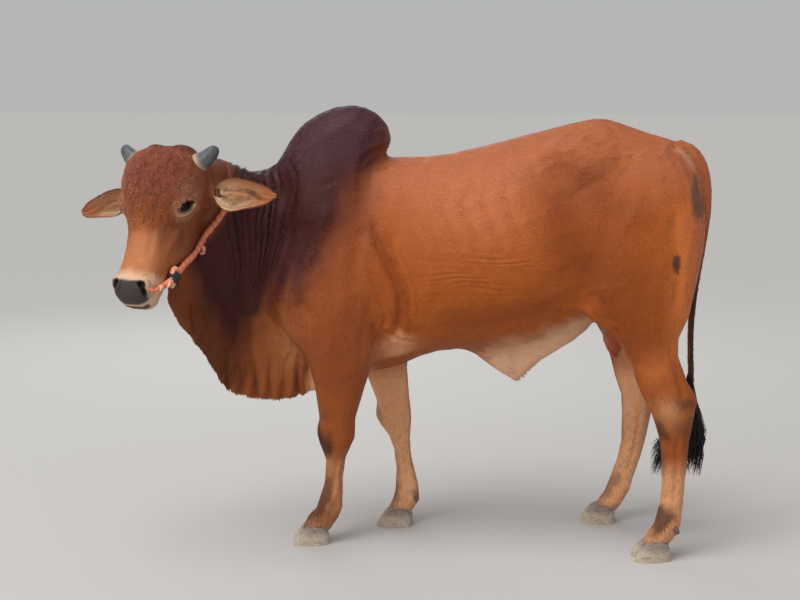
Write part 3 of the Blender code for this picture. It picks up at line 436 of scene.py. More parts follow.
def raw_skin():
    """One closed surface round all nodes of flesh, with eyes and nostrils filled."""
    parts = []
    for name in FLESH:
        points, corners = welded(name)
        parts.append((points - SHIFT + point_normals(points, corners) * GAP_FILL, corners))
    for side, _ in SIDES:
        parts.append(ellipsoid(eye_frame(side)[0], np.eye(3), (EYE_FILL,) * 3))
        centre, slant, across, through = nostril_frame(side)
        parts.append(ellipsoid(centre - through * NOSTRIL_SUNK, (slant, across, through),
                               NOSTRIL_FILL))
    skin = new_object("hide", new_mesh("hide", *parts))
    wrap = skin.modifiers.new("wrap", "REMESH")
    wrap.mode = "VOXEL"
    wrap.voxel_size = SKIN_VOXEL
    settle(skin)
    return skin


def refine(mesh, inside):
    """Splits the faces whose middles are inside a place, once."""
    shell = bmesh.new()
    shell.from_mesh(mesh)
    middles = np.array([face.calc_center_median() for face in shell.faces]) - SHIFT
    chosen = inside(middles)
    shell.faces.ensure_lookup_table()
    edges = {edge for index in np.flatnonzero(chosen) for edge in shell.faces[index].edges}
    bmesh.ops.subdivide_edges(shell, edges=list(edges), cuts=1, use_grid_fill=True)
    shell.to_mesh(mesh)
    shell.free()


def fine_places(points):
    """Where the skin needs small faces: head, folded neck, wrinkled ribs."""
    x, y, z = points.T
    head = near_head(points) > -0.05
    neck = (x < -0.27) & (y < 0.02) & (z > 0.72) & (z < 1.33)
    ribs = (np.abs(x - 0.31) < 0.24) & (np.abs(y) > 0.15) & (np.abs(z - 0.95) < 0.13)
    return head | neck | ribs


def finest_places(points):
    """Where the skin needs the smallest faces: muzzle and round the eyes."""
    fine = (to_head(points)[:, 0] > 0.405) & (near_head(points) > 0)
    for side, _ in SIDES:
        fine |= np.linalg.norm(points - eye_frame(side)[0], axis=1) < 0.062
    return fine


def to_line(points, line):
    """Each point's distance to a line of points, and its share of the way along it."""
    line = np.array(line, float)
    best = np.full(len(points), 1e9)
    share = np.zeros(len(points))
    count = len(line) - 1
    for index in range(count):
        a, b = line[index], line[index + 1]
        span = b - a
        t = np.clip((points - a) @ span / (span @ span), 0, 1)
        apart = np.linalg.norm(points - a - t[:, None] * span, axis=1)
        closer = apart < best
        best[closer] = apart[closer]
        share[closer] = (index + t[closer]) / count
    return best, share


STROKE_ROWS = 14
STROKE_RIM = 0.25


def stroke(points, tree, line, width, depth):
    """How far a groove (or a ridge, where depth is negative) moves each point outward.

    The line is laid on the skin first, and the groove has a low rim on both sides.
    """
    rows = smooth_rows(line, STROKE_ROWS)
    line = np.array([tree.find_nearest(Vector(row))[0] for row in rows])
    low, high = line.min(axis=0) - width * 3.2, line.max(axis=0) + width * 3.2
    inside = np.all((points > low) & (points < high), axis=1)
    move = np.zeros(len(points))
    apart, share = to_line(points[inside], line)
    fade = soft(share, 0.0, 0.22) * soft(share, 1.0, 0.78)
    move[inside] = -depth * fade * (hump(apart, 0, width) - STROKE_RIM * hump(apart, 1.9 * width, width))
    return move


# Lines on the left that are both grooves and hollows with painted shade: shoulder, flank and hip
SHOULDER_LINE = ((-0.085, -0.200, 1.120), (-0.064, -0.208, 1.060), (-0.030, -0.217, 0.990),
                 (0.012, -0.221, 0.890), (0.010, -0.198, 0.780), (-0.020, -0.17, 0.715))
FLANK_LINE = ((0.525, -0.18, 1.360), (0.535, -0.201, 1.300), (0.551, -0.221, 1.215),
              (0.570, -0.246, 1.108), (0.600, -0.246, 0.995), (0.640, -0.214, 0.870))
HIP_LINE = ((0.618, -0.211, 1.264), (0.667, -0.222, 1.200), (0.773, -0.237, 1.153))
# Grooves and ridges of the body on its left side, as lines of places, then width, depth
BODY_STROKES = (
    (((-0.150, -0.105, 1.300), (-0.110, -0.094, 1.332), (-0.075, -0.070, 1.348),
      (-0.030, -0.020, 1.352)), 0.012, 0.008),
    (((-0.150, -0.120, 1.270), (-0.100, -0.105, 1.300), (-0.050, -0.080, 1.318)), 0.011, 0.003),
    (SHOULDER_LINE, 0.013, 0.0075),
    (((-0.100, -0.207, 1.000), (-0.075, -0.215, 0.930), (-0.050, -0.216, 0.860),
      (-0.035, -0.206, 0.800), (-0.050, -0.19, 0.75)), 0.0085, 0.0055),
    (((-0.025, -0.207, 1.079), (0.009, -0.223, 0.992), (0.042, -0.229, 0.899),
      (0.044, -0.20, 0.80)), 0.009, 0.0035),
    (((-0.085, -0.211, 0.790), (-0.050, -0.175, 0.730), (-0.041, -0.150, 0.690)), 0.008, 0.006),
    (((-0.050, -0.195, 0.760), (0.000, -0.165, 0.725), (0.060, -0.150, 0.712)), 0.008, 0.006),
    (FLANK_LINE, 0.080, 0.026),
    (HIP_LINE, 0.075, 0.006),
    (((-0.665, -0.255, 0.863), (-0.672, -0.250, 0.800), (-0.663, -0.243, 0.746)), 0.014, 0.012),
    (((0.545, -0.197, 0.838), (0.600, -0.197, 0.842), (0.640, -0.200, 0.826),
      (0.680, -0.207, 0.780), (0.71, -0.20, 0.73)), 0.011, -0.007),
    (((0.640, -0.21, 0.90), (0.680, -0.22, 0.850), (0.72, -0.21, 0.79)), 0.022, 0.007),
    (((0.905, -0.05, 1.378), (0.940, -0.060, 1.350), (0.975, -0.055, 1.305),
      (0.995, -0.045, 1.25), (1.005, -0.04, 1.19)), 0.010, 0.008),
    (((0.895, -0.195, 1.16), (0.905, -0.22, 1.06), (0.915, -0.235, 0.94),
      (0.93, -0.23, 0.83)), 0.020, 0.0055),
    (((-0.225, -0.17, 1.18), (-0.270, -0.20, 1.06), (-0.305, -0.215, 0.95)), 0.022, -0.005),
    (((-0.110, -0.20, 1.12), (-0.130, -0.21, 1.00), (-0.150, -0.215, 0.88)), 0.022, 0.005),
    (((-0.325, -0.20, 0.86), (-0.27, -0.215, 0.80), (-0.22, -0.215, 0.70)), 0.018, 0.005),
    (((-0.355, -0.10, 0.56), (-0.330, -0.13, 0.62), (-0.320, -0.17, 0.70),
      (-0.335, -0.19, 0.76)), 0.010, 0.006),
    (((-0.385, -0.09, 0.60), (-0.365, -0.14, 0.68), (-0.365, -0.18, 0.76)), 0.009, 0.005),
    (((0.150, -0.225, 1.230), (0.185, -0.25, 1.12), (0.230, -0.26, 1.03)), 0.018, 0.0022),
    (((0.215, -0.225, 1.240), (0.250, -0.25, 1.13), (0.300, -0.26, 1.03)), 0.018, 0.0026),
    (((0.280, -0.225, 1.260), (0.320, -0.25, 1.14), (0.370, -0.26, 1.03)), 0.018, 0.0026),
    (((0.350, -0.225, 1.280), (0.390, -0.25, 1.15), (0.430, -0.26, 1.05)), 0.018, 0.0020),
)
# Swells of the body on its left side: place, radius and height
BODY_SWELLS = (
    ((0.585, -0.175, 1.325), 0.060, 0.005),
    ((-0.385, -0.17, 0.85), 0.050, 0.006),
    ((0.700, -0.22, 0.990), 0.110, 0.006),
    ((-0.170, -0.21, 0.815), 0.055, 0.006),
    ((-0.272, -0.145, 0.410), 0.030, 0.005),
    ((-0.092, -0.125, 0.400), 0.030, 0.005),
    ((-0.690, -0.262, 0.800), 0.035, 0.010),
)
# Grooves down both sides of a leg: its middle across the body, places of x and height, width, depth
LEG_GROOVES = (
    (-0.150, ((-0.200, 0.31), (-0.207, 0.24), (-0.215, 0.175)), 0.0075, 0.0045),
    (0.126, ((0.000, 0.30), (0.012, 0.24), (0.022, 0.17)), 0.0075, 0.0045),
    (-0.200, ((0.935, 0.43), (0.938, 0.30), (0.932, 0.19)), 0.0075, 0.0045),
    (0.185, ((0.845, 0.42), (0.838, 0.30), (0.810, 0.19)), 0.0075, 0.0045),
    (-0.182, ((0.900, 0.72), (0.930, 0.65), (0.950, 0.59), (0.962, 0.535)), 0.010, 0.007),
    (0.178, ((0.830, 0.70), (0.855, 0.63), (0.870, 0.57), (0.878, 0.515)), 0.010, 0.007),
)
GROOVE_ASIDE = 0.05
# Grooves and ridges of the head on its left side, in the head's frame
HEAD_STROKES = (
    (((0.044, 0.135, -0.085), (0.090, 0.150, -0.090), (0.130, 0.150, -0.110),
      (0.175, 0.138, -0.140)), 0.0050, 0.0042),
    (((0.035, 0.128, -0.110), (0.085, 0.165, -0.108), (0.125, 0.165, -0.125),
      (0.165, 0.145, -0.160)), 0.0050, 0.0042),
    (((0.060, 0.160, -0.135), (0.095, 0.178, -0.122), (0.130, 0.176, -0.135),
      (0.155, 0.155, -0.165)), 0.0045, 0.0036),
    (((0.135, 0.120, -0.020), (0.145, 0.133, -0.040), (0.150, 0.142, -0.065),
      (0.165, 0.145, -0.085)), 0.0048, 0.0026),
    (((0.215, 0.098, -0.029), (0.230, 0.090, -0.033), (0.246, 0.084, -0.035)), 0.0045, 0.0018),
    (((0.205, 0.118, -0.045), (0.225, 0.112, -0.055), (0.232, 0.115, -0.075)), 0.0050, 0.0022),
    (((0.240, 0.088, -0.020), (0.275, 0.080, -0.024), (0.320, 0.073, -0.035)), 0.012, 0.0030),
    (((0.240, 0.105, -0.065), (0.285, 0.092, -0.062), (0.335, 0.080, -0.064)), 0.012, -0.0045),
    (((0.255, 0.105, -0.095), (0.305, 0.085, -0.102), (0.360, 0.075, -0.088)), 0.015, 0.0050),
    (((0.190, 0.145, -0.165), (0.235, 0.125, -0.180), (0.290, 0.095, -0.170)), 0.016, 0.0045),
    (((0.215, 0.060, 0.010), (0.290, 0.050, 0.005), (0.370, 0.046, 0.000)), 0.012, 0.0030),
    (((0.425, 0.045, 0.000), (0.432, 0.062, -0.012), (0.445, 0.075, -0.028)), 0.006, 0.0030),
    (((0.400, 0.072, -0.030), (0.420, 0.078, -0.050), (0.440, 0.078, -0.070)), 0.006, 0.0026),
)

# Neck folds: the first and last fold on the left as places of x and height
FOLD_FIRST = ((1.30, -0.575), (1.16, -0.560), (1.05, -0.556), (0.95, -0.550), (0.80, -0.560))
FOLD_LAST = ((1.36, -0.300), (1.22, -0.318), (1.10, -0.345), (0.97, -0.398), (0.87, -0.447),
             (0.78, -0.480))
FOLD_COUNT = 9.5
FOLD_HEIGHT = 0.0095
FOLD_REACH = (("across", -0.10, 0.10), ("across", 1.12, 0.80), ("z", 0.72, 0.90), ("z", 1.36, 1.28),
              "near_side", ("front", 0.06, -0.02))

# Dewlap lobes: where along the body the valleys between them lie, and how high they begin
LOBE_VALLEYS = (-0.66, -0.578, -0.535, -0.490, -0.447, -0.400, -0.352, -0.318, -0.27)
LOBE_TOPS = ((-0.62, -0.55, -0.50, -0.40, -0.30), (0.72, 0.88, 0.84, 0.74, 0.68))
LOBE_HEIGHT = 0.0115

# Fine wrinkles over the ribs and the ribs themselves: height, spacing and reach
WRINKLE_HEIGHT = 0.0015
WRINKLE_SPACING = 0.0215
WRINKLE_REACH = (("~x", 0.31, 0.20), ("z", 0.835, 0.88), ("z", 1.055, 1.00), ("side", 0.15, 0.20))
RIB_HEIGHT = 0.0016
RIB_SPACING = 0.074
RIB_REACH = (("~x", 0.26, 0.17), ("~z", 1.12, 0.11), ("side", 0.15, 0.20))


def fold_x(table, z):
    """Where along the body a guide fold lies at a height."""
    rows = np.array(table)[::-1]
    return np.interp(z, rows[:, 0], rows[:, 1])


def neck_folds(points):
    """The folds that gather on the inside of the turned neck: height, and valley shade."""
    x, y, z = points.T
    first, last = fold_x(FOLD_FIRST, z), fold_x(FOLD_LAST, z)
    across = (x - first) / (last - first)
    drift = waves(points, 0.30, 5) * 0.85 + waves(points, 0.11, 6) * 0.24
    phase = across * FOLD_COUNT + drift
    crest = np.abs(np.sin(math.pi * phase)) ** 0.70
    fold = phase.round()
    uneven = waves(np.stack([fold * 3.1, fold * 0, z * 4.0], 1), 1.0, 9)
    depth = 0.55 + 0.42 * np.sin(fold * 2.4) * np.cos(fold * 1.1 + z * 5.0) + 0.35 * uneven
    depth = np.clip(depth, 0.08, 1.15)
    reach = bounded({"across": across, "z": z, "near_side": np.where(y < -0.01, 1.0, 0.3),
                     "front": near_head(points)}, FOLD_REACH)
    height = reach * depth * np.clip((last - first) / 0.21, 0.35, 1.0)
    return FOLD_HEIGHT * height * (crest - 0.65), height * (1 - crest)


def dewlap_lobes(points):
    """The hanging lobes of the dewlap's lower edge: height, and valley shade."""
    x, _, z = points.T
    at = np.interp(x, LOBE_VALLEYS, np.arange(len(LOBE_VALLEYS)))
    at = at + 0.30 * waves(points * (1, 0, 1), 0.12, 11) * soft(z, 0.56, 0.68)
    crest = np.abs(np.sin(math.pi * at)) ** 0.75
    uneven = 0.65 + 0.35 * np.sin(at.round() * 2.3)
    reach = soft(z, np.interp(x, *LOBE_TOPS), 0.56) * soft(x, -0.625, -0.58) * soft(x, -0.275, -0.31)
    reach = reach * (0.45 + 0.55 * soft(z, 0.70, 0.58)) * uneven
    return LOBE_HEIGHT * reach * (crest - 0.70), reach * (1 - crest)


def rib_wrinkles(points):
    """Fine level wrinkles of the loose skin over the ribs, and the slanted ribs."""
    x, y, z = points.T
    values = {"x": x, "z": z, "side": np.abs(y)}
    level = z - 0.22 * np.clip(x - 0.30, 0, None) ** 2 + 0.016 * waves(points * (0.6, 1, 1), 0.22, 21)
    level = level + 0.006 * waves(points * (0.4, 1, 1), 0.07, 24)
    uneven = soft(waves(points * (0.45, 1, 1.6), 0.075, 22), -0.5, 1.0)
    wrinkles = bounded(values, WRINKLE_REACH) * uneven * np.sin(level * 2 * math.pi / WRINKLE_SPACING)
    slanted = (x + 0.62 * (z - 1.1)) * 2 * math.pi / RIB_SPACING
    ribs = bounded(values, RIB_REACH) * np.sin(slanted + 0.6 * waves(points, 0.2, 25))
    return WRINKLE_HEIGHT * wrinkles + RIB_HEIGHT * ribs


def mouth_line(tree):
    """The line between the lips, from one corner round to the other."""
    start = from_head(MOUTH_CENTRE)
    path = []
    for angle in np.radians(np.linspace(-MOUTH_SWING, MOUTH_SWING, 41)):
        lift = MOUTH_RISE * (abs(angle) / math.radians(MOUTH_SWING)) ** 2
        direction = unit(np.array((math.cos(angle), math.sin(angle), -lift)) @ AXES)
        path.append(np.array(tree.ray_cast(Vector(start), Vector(direction))[0]))
    return np.array(path)


def nostril_move(points, side):
    """The comma-shaped nostril and the wing round it: how far each point moves, and where the hollow gets
    painted shade.
    """
    centre, slant, across, through = nostril_frame(side)
    s, t, o = measured(points, centre, slant, across, through)
    t = t - 0.16 * (s / 0.016) ** 2 * 0.016
    oval = np.sqrt((s / 0.0215) ** 2 + (t / 0.0108) ** 2)
    near = soft(np.abs(o), 0.045, 0.020)
    hollow = soft(oval, 1.10, 0.60)
    wing = hump(oval, 1.50, 0.40)
    return near * (-0.0170 * hollow + 0.0026 * wing), near * soft(oval, 1.14, 0.85)


def skin_normals(mesh):
    """Outward directions at a mesh's points."""
    return numbers(mesh.vertices, "normal", 3)


# The stretch of body along and up where the hump's sides run smoothly into the shoulder
FILL_ALONG = (-0.42, -0.08, 22)
FILL_UP = (1.08, 1.46, 39)
FILL_MOST = 0.05


def hump_fill(points):
    """The places with the hollow between the hump's sides and the shoulder filled out."""
    x, y, z = points.T
    along, up = np.linspace(*FILL_ALONG), np.linspace(*FILL_UP)
    column = np.round(np.interp(x, along, np.arange(len(along)))).astype(int)
    row = np.round(np.interp(z, up, np.arange(len(up)))).astype(int)
    near = (x > along[0] - 0.01) & (x < along[-1] + 0.01) & (z > up[0])
    crown = np.zeros(len(along))
    np.maximum.at(crown, column[near], z[near])
    filled = points.copy()
    for side in (1, -1):
        wide = np.full((len(along), len(up)), -1.0)
        here = near & (y * side > 0.01) & (z < up[-1])
        np.maximum.at(wide, (column[here], row[here]), (y * side)[here])
        full = np.empty_like(wide)
        for line in range(len(along)):
            known = (wide[line] > 0) & (up < crown[line] - 0.04)
            flat = np.interp(up, up[known], wide[line][known])
            full[line] = flat
            for low in range(len(up)):
                for high in range(low + 2, len(up)):
                    chord = np.linspace(flat[low], flat[high], high - low + 1)
                    full[line, low:high + 1] = np.maximum(full[line, low:high + 1], chord)
        for _ in range(3):
            full[1:-1] = (full[:-2] + 2 * full[1:-1] + full[2:]) / 4
        a = np.clip((x - along[0]) / (along[1] - along[0]), 0, len(along) - 1.001)
        b = np.clip((z - up[0]) / (up[1] - up[0]), 0, len(up) - 1.001)
        i, j = a.astype(int), b.astype(int)
        u, v = a - i, b - j
        value = ((full[i, j] * (1 - u) + full[i + 1, j] * u) * (1 - v)
                 + (full[i, j + 1] * (1 - u) + full[i + 1, j + 1] * u) * v)
        top = np.interp(x, along, crown)
        weight = soft(x, along[0], along[0] + 0.09) * soft(x, along[-1], along[-1] - 0.07)
        weight = weight * soft(z, up[0], up[0] + 0.05) * soft(z, top - 0.05, top - 0.10)
        gain = np.clip(value - y * side, 0, FILL_MOST) * weight
        filled[:, 1] += side * np.where(y * side > 0.03, gain, 0.0)
    return filled


def even_out(mesh):
    """Smooths the steps that the voxels leave, fills the hump's foot and softens the brisket."""
    points = places(mesh)
    ends = edge_ends(mesh)
    x, _, z = points.T
    head = soft(near_head(points), -0.03, 0.03)
    tail = soft(x, 0.985, 1.0) * soft(z, 1.15, 1.05)
    foot = soft(z, 0.16, 0.11)
    body = (1 - head) * (1 - soft(z, 0.62, 0.52)) * (1 - tail)
    points = relax(points, ends, 10, np.ones(len(points)))
    points = relax(points, ends, 14, (1 - 0.75 * head) * (1 - tail) * (1 - 0.8 * foot))
    points = hump_fill(relax(points, ends, 30, body))
    hump_foot = hump(points[:, 0], -0.26, 0.14) * hump(points[:, 2], 1.26, 0.10)
    points = relax(points, ends, 60, body * hump_foot)
    brisket = hump(points[:, 0], -0.40, 0.13) * hump(points[:, 2], 0.76, 0.16)
    place(mesh, relax(points, ends, 140, body * brisket))


def body_relief(points, tree):
    """How far the grooves, ridges and swells of body and legs move each point outward."""
    move = np.zeros(len(points))
    for line, width, depth in BODY_STROKES:
        for side in (1, -1):
            move += stroke(points, tree, [(x, y * side, z) for x, y, z in line], width, depth)
    for centre, radius, height in BODY_SWELLS:
        for side in (1, -1):
            apart = np.linalg.norm(points - mirrored(centre, side), axis=1)
            move += height * hump(apart, 0, radius)
    for middle, rows, width, depth in LEG_GROOVES:
        for aside in (-GROOVE_ASIDE, GROOVE_ASIDE):
            move += stroke(points, tree, [(x, middle + aside, z) for x, z in rows], width, depth)
    return move


def head_relief(points, tree):
    """How far the head's wrinkles, lips and nostrils move each point; masks of both openings, for their
    painted shade.
    """
    move = np.zeros(len(points))
    for line, width, depth in HEAD_STROKES:
        for side, _ in SIDES:
            placed = from_head([mirrored(p, side) for p in line])
            move += stroke(points, tree, placed, width, depth)
    lips, _ = to_line(points, mouth_line(tree))
    mouth = hump(lips, 0, 0.0022)
    move += -0.0045 * mouth + 0.0016 * hump(lips, 0.0075, 0.0045)
    nose = np.zeros(len(points))
    for side, _ in SIDES:
        change, hollow = nostril_move(points, side)
        move += change
        nose = np.maximum(nose, hollow)
    return move, mouth, nose


def build_skin():
    """The folded skin, and masks for its colours: painted shade in the fold valleys, the mouth's crease
    and the nostrils.
    """
    skin = raw_skin()
    mesh = skin.data
    even_out(mesh)
    refine(mesh, fine_places)
    refine(mesh, finest_places)
    points = places(mesh)
    points = relax(points, edge_ends(mesh), 8, fine_places(points).astype(float))
    place(mesh, points)
    points = points + skin_normals(mesh) * body_relief(points, tree_of(mesh))[:, None]
    place(mesh, points)
    folds, valley = neck_folds(points)
    lobes, creases = dewlap_lobes(points)
    face, mouth, nose = head_relief(points, tree_of(mesh))
    move = folds + lobes + rib_wrinkles(points) + face
    points = points + skin_normals(mesh) * (move - COAT_DEPTH)[:, None]
    place(mesh, points)
    return skin, {"valley": np.maximum(valley, creases * 0.30), "mouth": mouth, "nose": nose}


# Colours, as seen in the photograph, in screen values from 0 to 255

def linear(colour):
    """A screen colour as linear light."""
    value = np.array(colour, float) / 255
    return np.where(value <= 0.04045, value / 12.92, ((value + 0.055) / 1.055) ** 2.4)


HIDE_RED = linear((168, 84, 26))
# The back's red, paler and pinker than the flank: partly the coat's own tone, partly painted sheen
BACK_RED_AND_SHEEN = linear((178, 100, 62))
SHOULDER_RED = linear((150, 76, 34))
NECK_DARK = linear((60, 14, 16))
HUMP_DARK = linear((72, 38, 46))
# Painted shade in the valleys of the neck folds and the dewlap's lobes
FOLD_VALLEY_SHADE = linear((26, 10, 12))
DEWLAP_TAN = linear((172, 98, 46))
DEWLAP_BROWN = linear((122, 60, 26))
LEG_ORANGE = linear((152, 78, 30))
# Pale tan of inner legs, armpits and brisket: partly the hair's own tone, partly painted bounce light
# from the ground
TAN_WITH_BOUNCE_LIGHT = linear((236, 176, 128))
LEG_DARK = linear((70, 38, 28))
BELLY_PALE = linear((226, 178, 142))
SCROTUM_RED = linear((158, 78, 44))
FACE_TAN = linear((186, 116, 72))
FACE_BROWN = linear((140, 76, 44))
FOREHEAD = linear((140, 82, 62))
CREAM = linear((232, 200, 166))
NOSE_SLATE = linear((30, 31, 40))
# Painted shade inside the nostrils
NOSTRIL_SHADE = linear((14, 11, 12))
LIP_DARK = linear((62, 56, 62))
TAIL_BROWN = linear((54, 29, 22))
ROPE_GRIME = linear((112, 58, 44))
FLANK_LIGHT = linear((200, 118, 76))
SHADE_BROWN = linear((112, 46, 14))
RUMP_ORANGE = linear((206, 114, 54))
PATCH_GREY = linear((96, 66, 52))
SPOT_DARK = linear((78, 46, 40))
DUSTY = linear((150, 132, 116))
# Painted shade in the crease between the lips
MOUTH_CREASE_SHADE = linear((60, 34, 30))
BROW_PALE = linear((150, 112, 86))
EYE_RING = linear((170, 122, 92))
LID_BLACK = linear((34, 30, 34))
# Painted sheen on the wet rim of the lower lid
LID_RIM_SHEEN = linear((150, 140, 140))
EYE_BROWN = linear((58, 44, 40))
IRIS_DARK = linear((26, 16, 13))
IRIS_FIBRE = linear((38, 25, 19))
PUPIL_BLACK = linear((5, 5, 7))
EYE_CORNER = linear((92, 56, 54))
EAR_BACK = linear((150, 88, 58))
EAR_ROOT = linear((120, 66, 48))
EAR_CUP = linear((188, 134, 96))
# Painted shade in the folds of the ear's cup
EAR_FOLD_SHADE = linear((104, 58, 36))
EAR_TIP = linear((196, 112, 66))
EAR_PALE = linear((214, 184, 150))
# Painted shade in the ear's opening
EAR_OPENING_SHADE = linear((74, 42, 34))
EAR_SHADE = linear((150, 84, 54))
EAR_RIM = linear((110, 70, 54))
HORN_GREY = linear((96, 97, 100))
HORN_RING = linear((86, 87, 90))
HORN_SLATE = linear((66, 69, 75))
HORN_STREAK = linear((72, 72, 76))
HORN_COLLAR = linear((188, 162, 128))
HORN_SKIN = linear((120, 86, 66))
HORN_BLOT = linear((44, 42, 44))
HOOF_PALE = linear((186, 170, 152))
HOOF_GREY = linear((116, 102, 94))
HOOF_DUST = linear((202, 186, 166))
HOOF_CRACK = linear((62, 52, 48))
DEWCLAW_GREY = linear((112, 96, 84))
SWITCH_BLACK = linear((30, 24, 32))
SWITCH_BROWN = linear((52, 36, 36))
ROPE_COLOURS = ((236, 150, 116), (246, 176, 144), (226, 130, 100), (244, 190, 160))
STRIP_COLOURS = ((44, 46, 54), (58, 60, 70))
LASH_COLOURS = ((24, 18, 18),)


# The dark of neck and hump: its rear edge as height and place along the body, and its lower edge
DARK_EDGE = ((1.50, -0.020), (1.36, -0.045), (1.30, -0.085), (1.20, -0.125), (1.10, -0.175),
             (0.95, -0.240), (0.80, -0.315), (0.70, -0.40))
DARK_LEAST = ((-0.78, -0.68, -0.62, -0.57, -0.50, -0.44, -0.36),
              (1.02, 0.95, 0.80, 0.72, 0.76, 0.82, 0.86))
# Under the belly the hair is thin and pale up to this height along the body
BELLY_LINE = ((0.10, 0.25, 0.38, 0.50, 0.58, 0.66), (0.660, 0.675, 0.725, 0.775, 0.81, 0.76))
TAIL_CREASE = ((0.93, -0.062, 1.355), (0.972, -0.06, 1.31), (0.998, -0.045, 1.25), (1.01, -0.04, 1.20))

# Layers of the trunk's colour: a colour, its share, then the steps that bound it
HIDE_LAYERS = (
    # The top of the body, paler: partly its own tone, partly painted sheen
    (BACK_RED_AND_SHEEN, 0.8, ("z", 1.10, 1.32)),
    (FLANK_LIGHT, 0.55, ("~x", 0.28, 0.20), ("~z", 1.16, 0.12)),
    (SHOULDER_RED, 0.8, ("x", 0.0, -0.14)),
    (SHOULDER_RED, 0.7, ("z", 0.80, 0.66)),
    (DEWLAP_BROWN, 1.0, "brisket"),
    (DEWLAP_TAN, 0.85, "brisket", ("x", -0.545, -0.450), ("slanted", 0.90, 0.72)),
    (DEWLAP_BROWN * 0.60, 0.8, "brisket", ("x", -0.50, -0.58), ("x", -0.70, -0.64)),
    (TAN_WITH_BOUNCE_LIGHT, 0.35, "brisket", ("~x", -0.34, 0.06), ("~z", 0.66, 0.09)),
    (TAN_WITH_BOUNCE_LIGHT, 0.30, ("z", 0.55, 0.50), ("x", -0.30, -0.36), ("x", -0.56, -0.48)),
    (NECK_DARK, 0.97, "neck"),
    (HUMP_DARK, 0.95, ("z", 1.24, 1.36), ("ragged_x", 0.02, -0.10)),
    (SHOULDER_RED, 0.45, ("~x", -0.045, 0.045), ("z", 1.39, 1.35), ("z", 1.30, 1.335)),
    (BELLY_PALE, 0.95, ("belly", 0.030, -0.075), ("x", 0.20, 0.34), ("x", 0.70, 0.60), ("z", 0.50, 0.56)),
    (BELLY_PALE, 0.75, ("side", 0.16, 0.10), ("z", 0.86, 0.78), ("x", 0.56, 0.62), ("z", 0.40, 0.55)),
    (SCROTUM_RED, 1.0, ("~x", 0.738, 0.060), ("side", 0.085, 0.06), ("z", 0.62, 0.66), ("z", 0.86, 0.80)),
)
# Layers of armpit, buttocks, shanks and upper legs
LEG_LAYERS = (
    (TAN_WITH_BOUNCE_LIGHT, 0.55, ("~x", 0.00, 0.060), ("ragged_z", 0.755, 0.710), ("z", 0.60, 0.64),
     ("side", 0.10, 0.13)),
    (RUMP_ORANGE, 0.85, ("x", 0.86, 0.95), ("z", 0.62, 0.72), ("z", 1.25, 1.10)),
    (RUMP_ORANGE, 0.6, ("~x", 0.86, 0.06), ("~z", 0.64, 0.07)),
    (LEG_ORANGE, 0.9, ("z", 0.60, 0.50), ("x", 0.3, 0.2)),
    (LEG_ORANGE, 0.7, ("z", 0.64, 0.50), ("x", 0.4, 0.5)),
)
# Layers over all others: dust, specks, thighs, tail, the marks round its root and a painted highlight
# along its crease
LAST_LAYERS = (
    (DUSTY, 0.55, ("z", 0.085, 0.060)),
    (LEG_DARK, 0.34, ("speck", 0.45, 1.3), ("z", 0.50, 0.34)),
    # The rear of the buttocks and thighs, in the back's red with its painted sheen
    (BACK_RED_AND_SHEEN, 0.8, ("x", 0.93, 1.0), ("z", 0.6, 0.75)),
    (TAIL_BROWN, 0.95, ("x", 0.975, 1.0), ("side", 0.045, 0.035), ("z", 1.32, 1.05), ("z", 1.25, 0.85)),
    (PATCH_GREY, 1.0, ("patch", 0.25, 0.65), "patch_side"),
    # Painted highlight along the crease at the tail's root
    (CREAM * 0.8, 0.6, ("~crease", 0, 0.014)),
    (SPOT_DARK, 0.9, ("spot", 0.2, 0.6)),
)
# Layers of the face. A value with r in its name is made ragged by as many times the noise
FACE_LAYERS = (
    (FACE_TAN, 0.9, ("side", 0.085, 0.030), ("out", -0.06, -0.02), ("down_3r", 0.17, 0.34)),
    (FACE_TAN, 0.8, ("down", 0.27, 0.36)),
    (FOREHEAD, 1.0, ("down_2r", 0.265, 0.125), ("out", -0.10, -0.03)),
    (BROW_PALE, 0.8, ("~down", 0.129, 0.022), ("~side", 0.120, 0.022), ("~out", -0.020, 0.025)),
    (FACE_BROWN * 0.62, 0.75, ("out", -0.07, -0.15), ("down", 0.36, 0.28)),
    (NECK_DARK, 0.4, ("down", 0.02, -0.01)),
    (EYE_RING, 0.55, ("eye", 0.055, 0.036)),
    (CREAM, 0.72, ("down_r", 0.392, 0.440)),
    (NOSE_SLATE, 0.95, ("down_04r", 0.438, 0.450), ("out", -0.050, -0.036), ("side", 0.070, 0.058)),
    (LIP_DARK, 0.9, ("down", 0.455, 0.475), ("out", -0.050, -0.058), ("out", -0.094, -0.082),
     ("side_r", 0.054, 0.040)),
    (LIP_DARK, 0.75, ("~down", 0.462, 0.022), ("~out", -0.030, 0.022), ("~side", 0.064, 0.010)),
)

# Painted shade in hollows: a line on the left, how wide and how much
SHADES = (
    (SHOULDER_LINE[:5], 0.024, 0.55),
    (FLANK_LINE[2:5], 0.075, 0.55),
    (HIP_LINE, 0.060, 0.35),
    (((0.680, -0.22, 0.93), (0.74, -0.23, 0.85), (0.80, -0.22, 0.76)), 0.085, 0.50),
    (((0.70, -0.235, 1.08), (0.76, -0.24, 0.98), (0.82, -0.24, 0.90)), 0.075, 0.30),
    (((-0.16, -0.22, 0.80), (-0.20, -0.21, 0.66), (-0.24, -0.19, 0.50)), 0.085, 0.35),
    (((0.20, -0.22, 0.79), (0.35, -0.23, 0.81), (0.50, -0.22, 0.86)), 0.055, 0.40),
    (((0.955, -0.17, 1.12), (0.935, -0.20, 1.06), (0.920, -0.22, 1.00)), 0.016, 0.40),
)


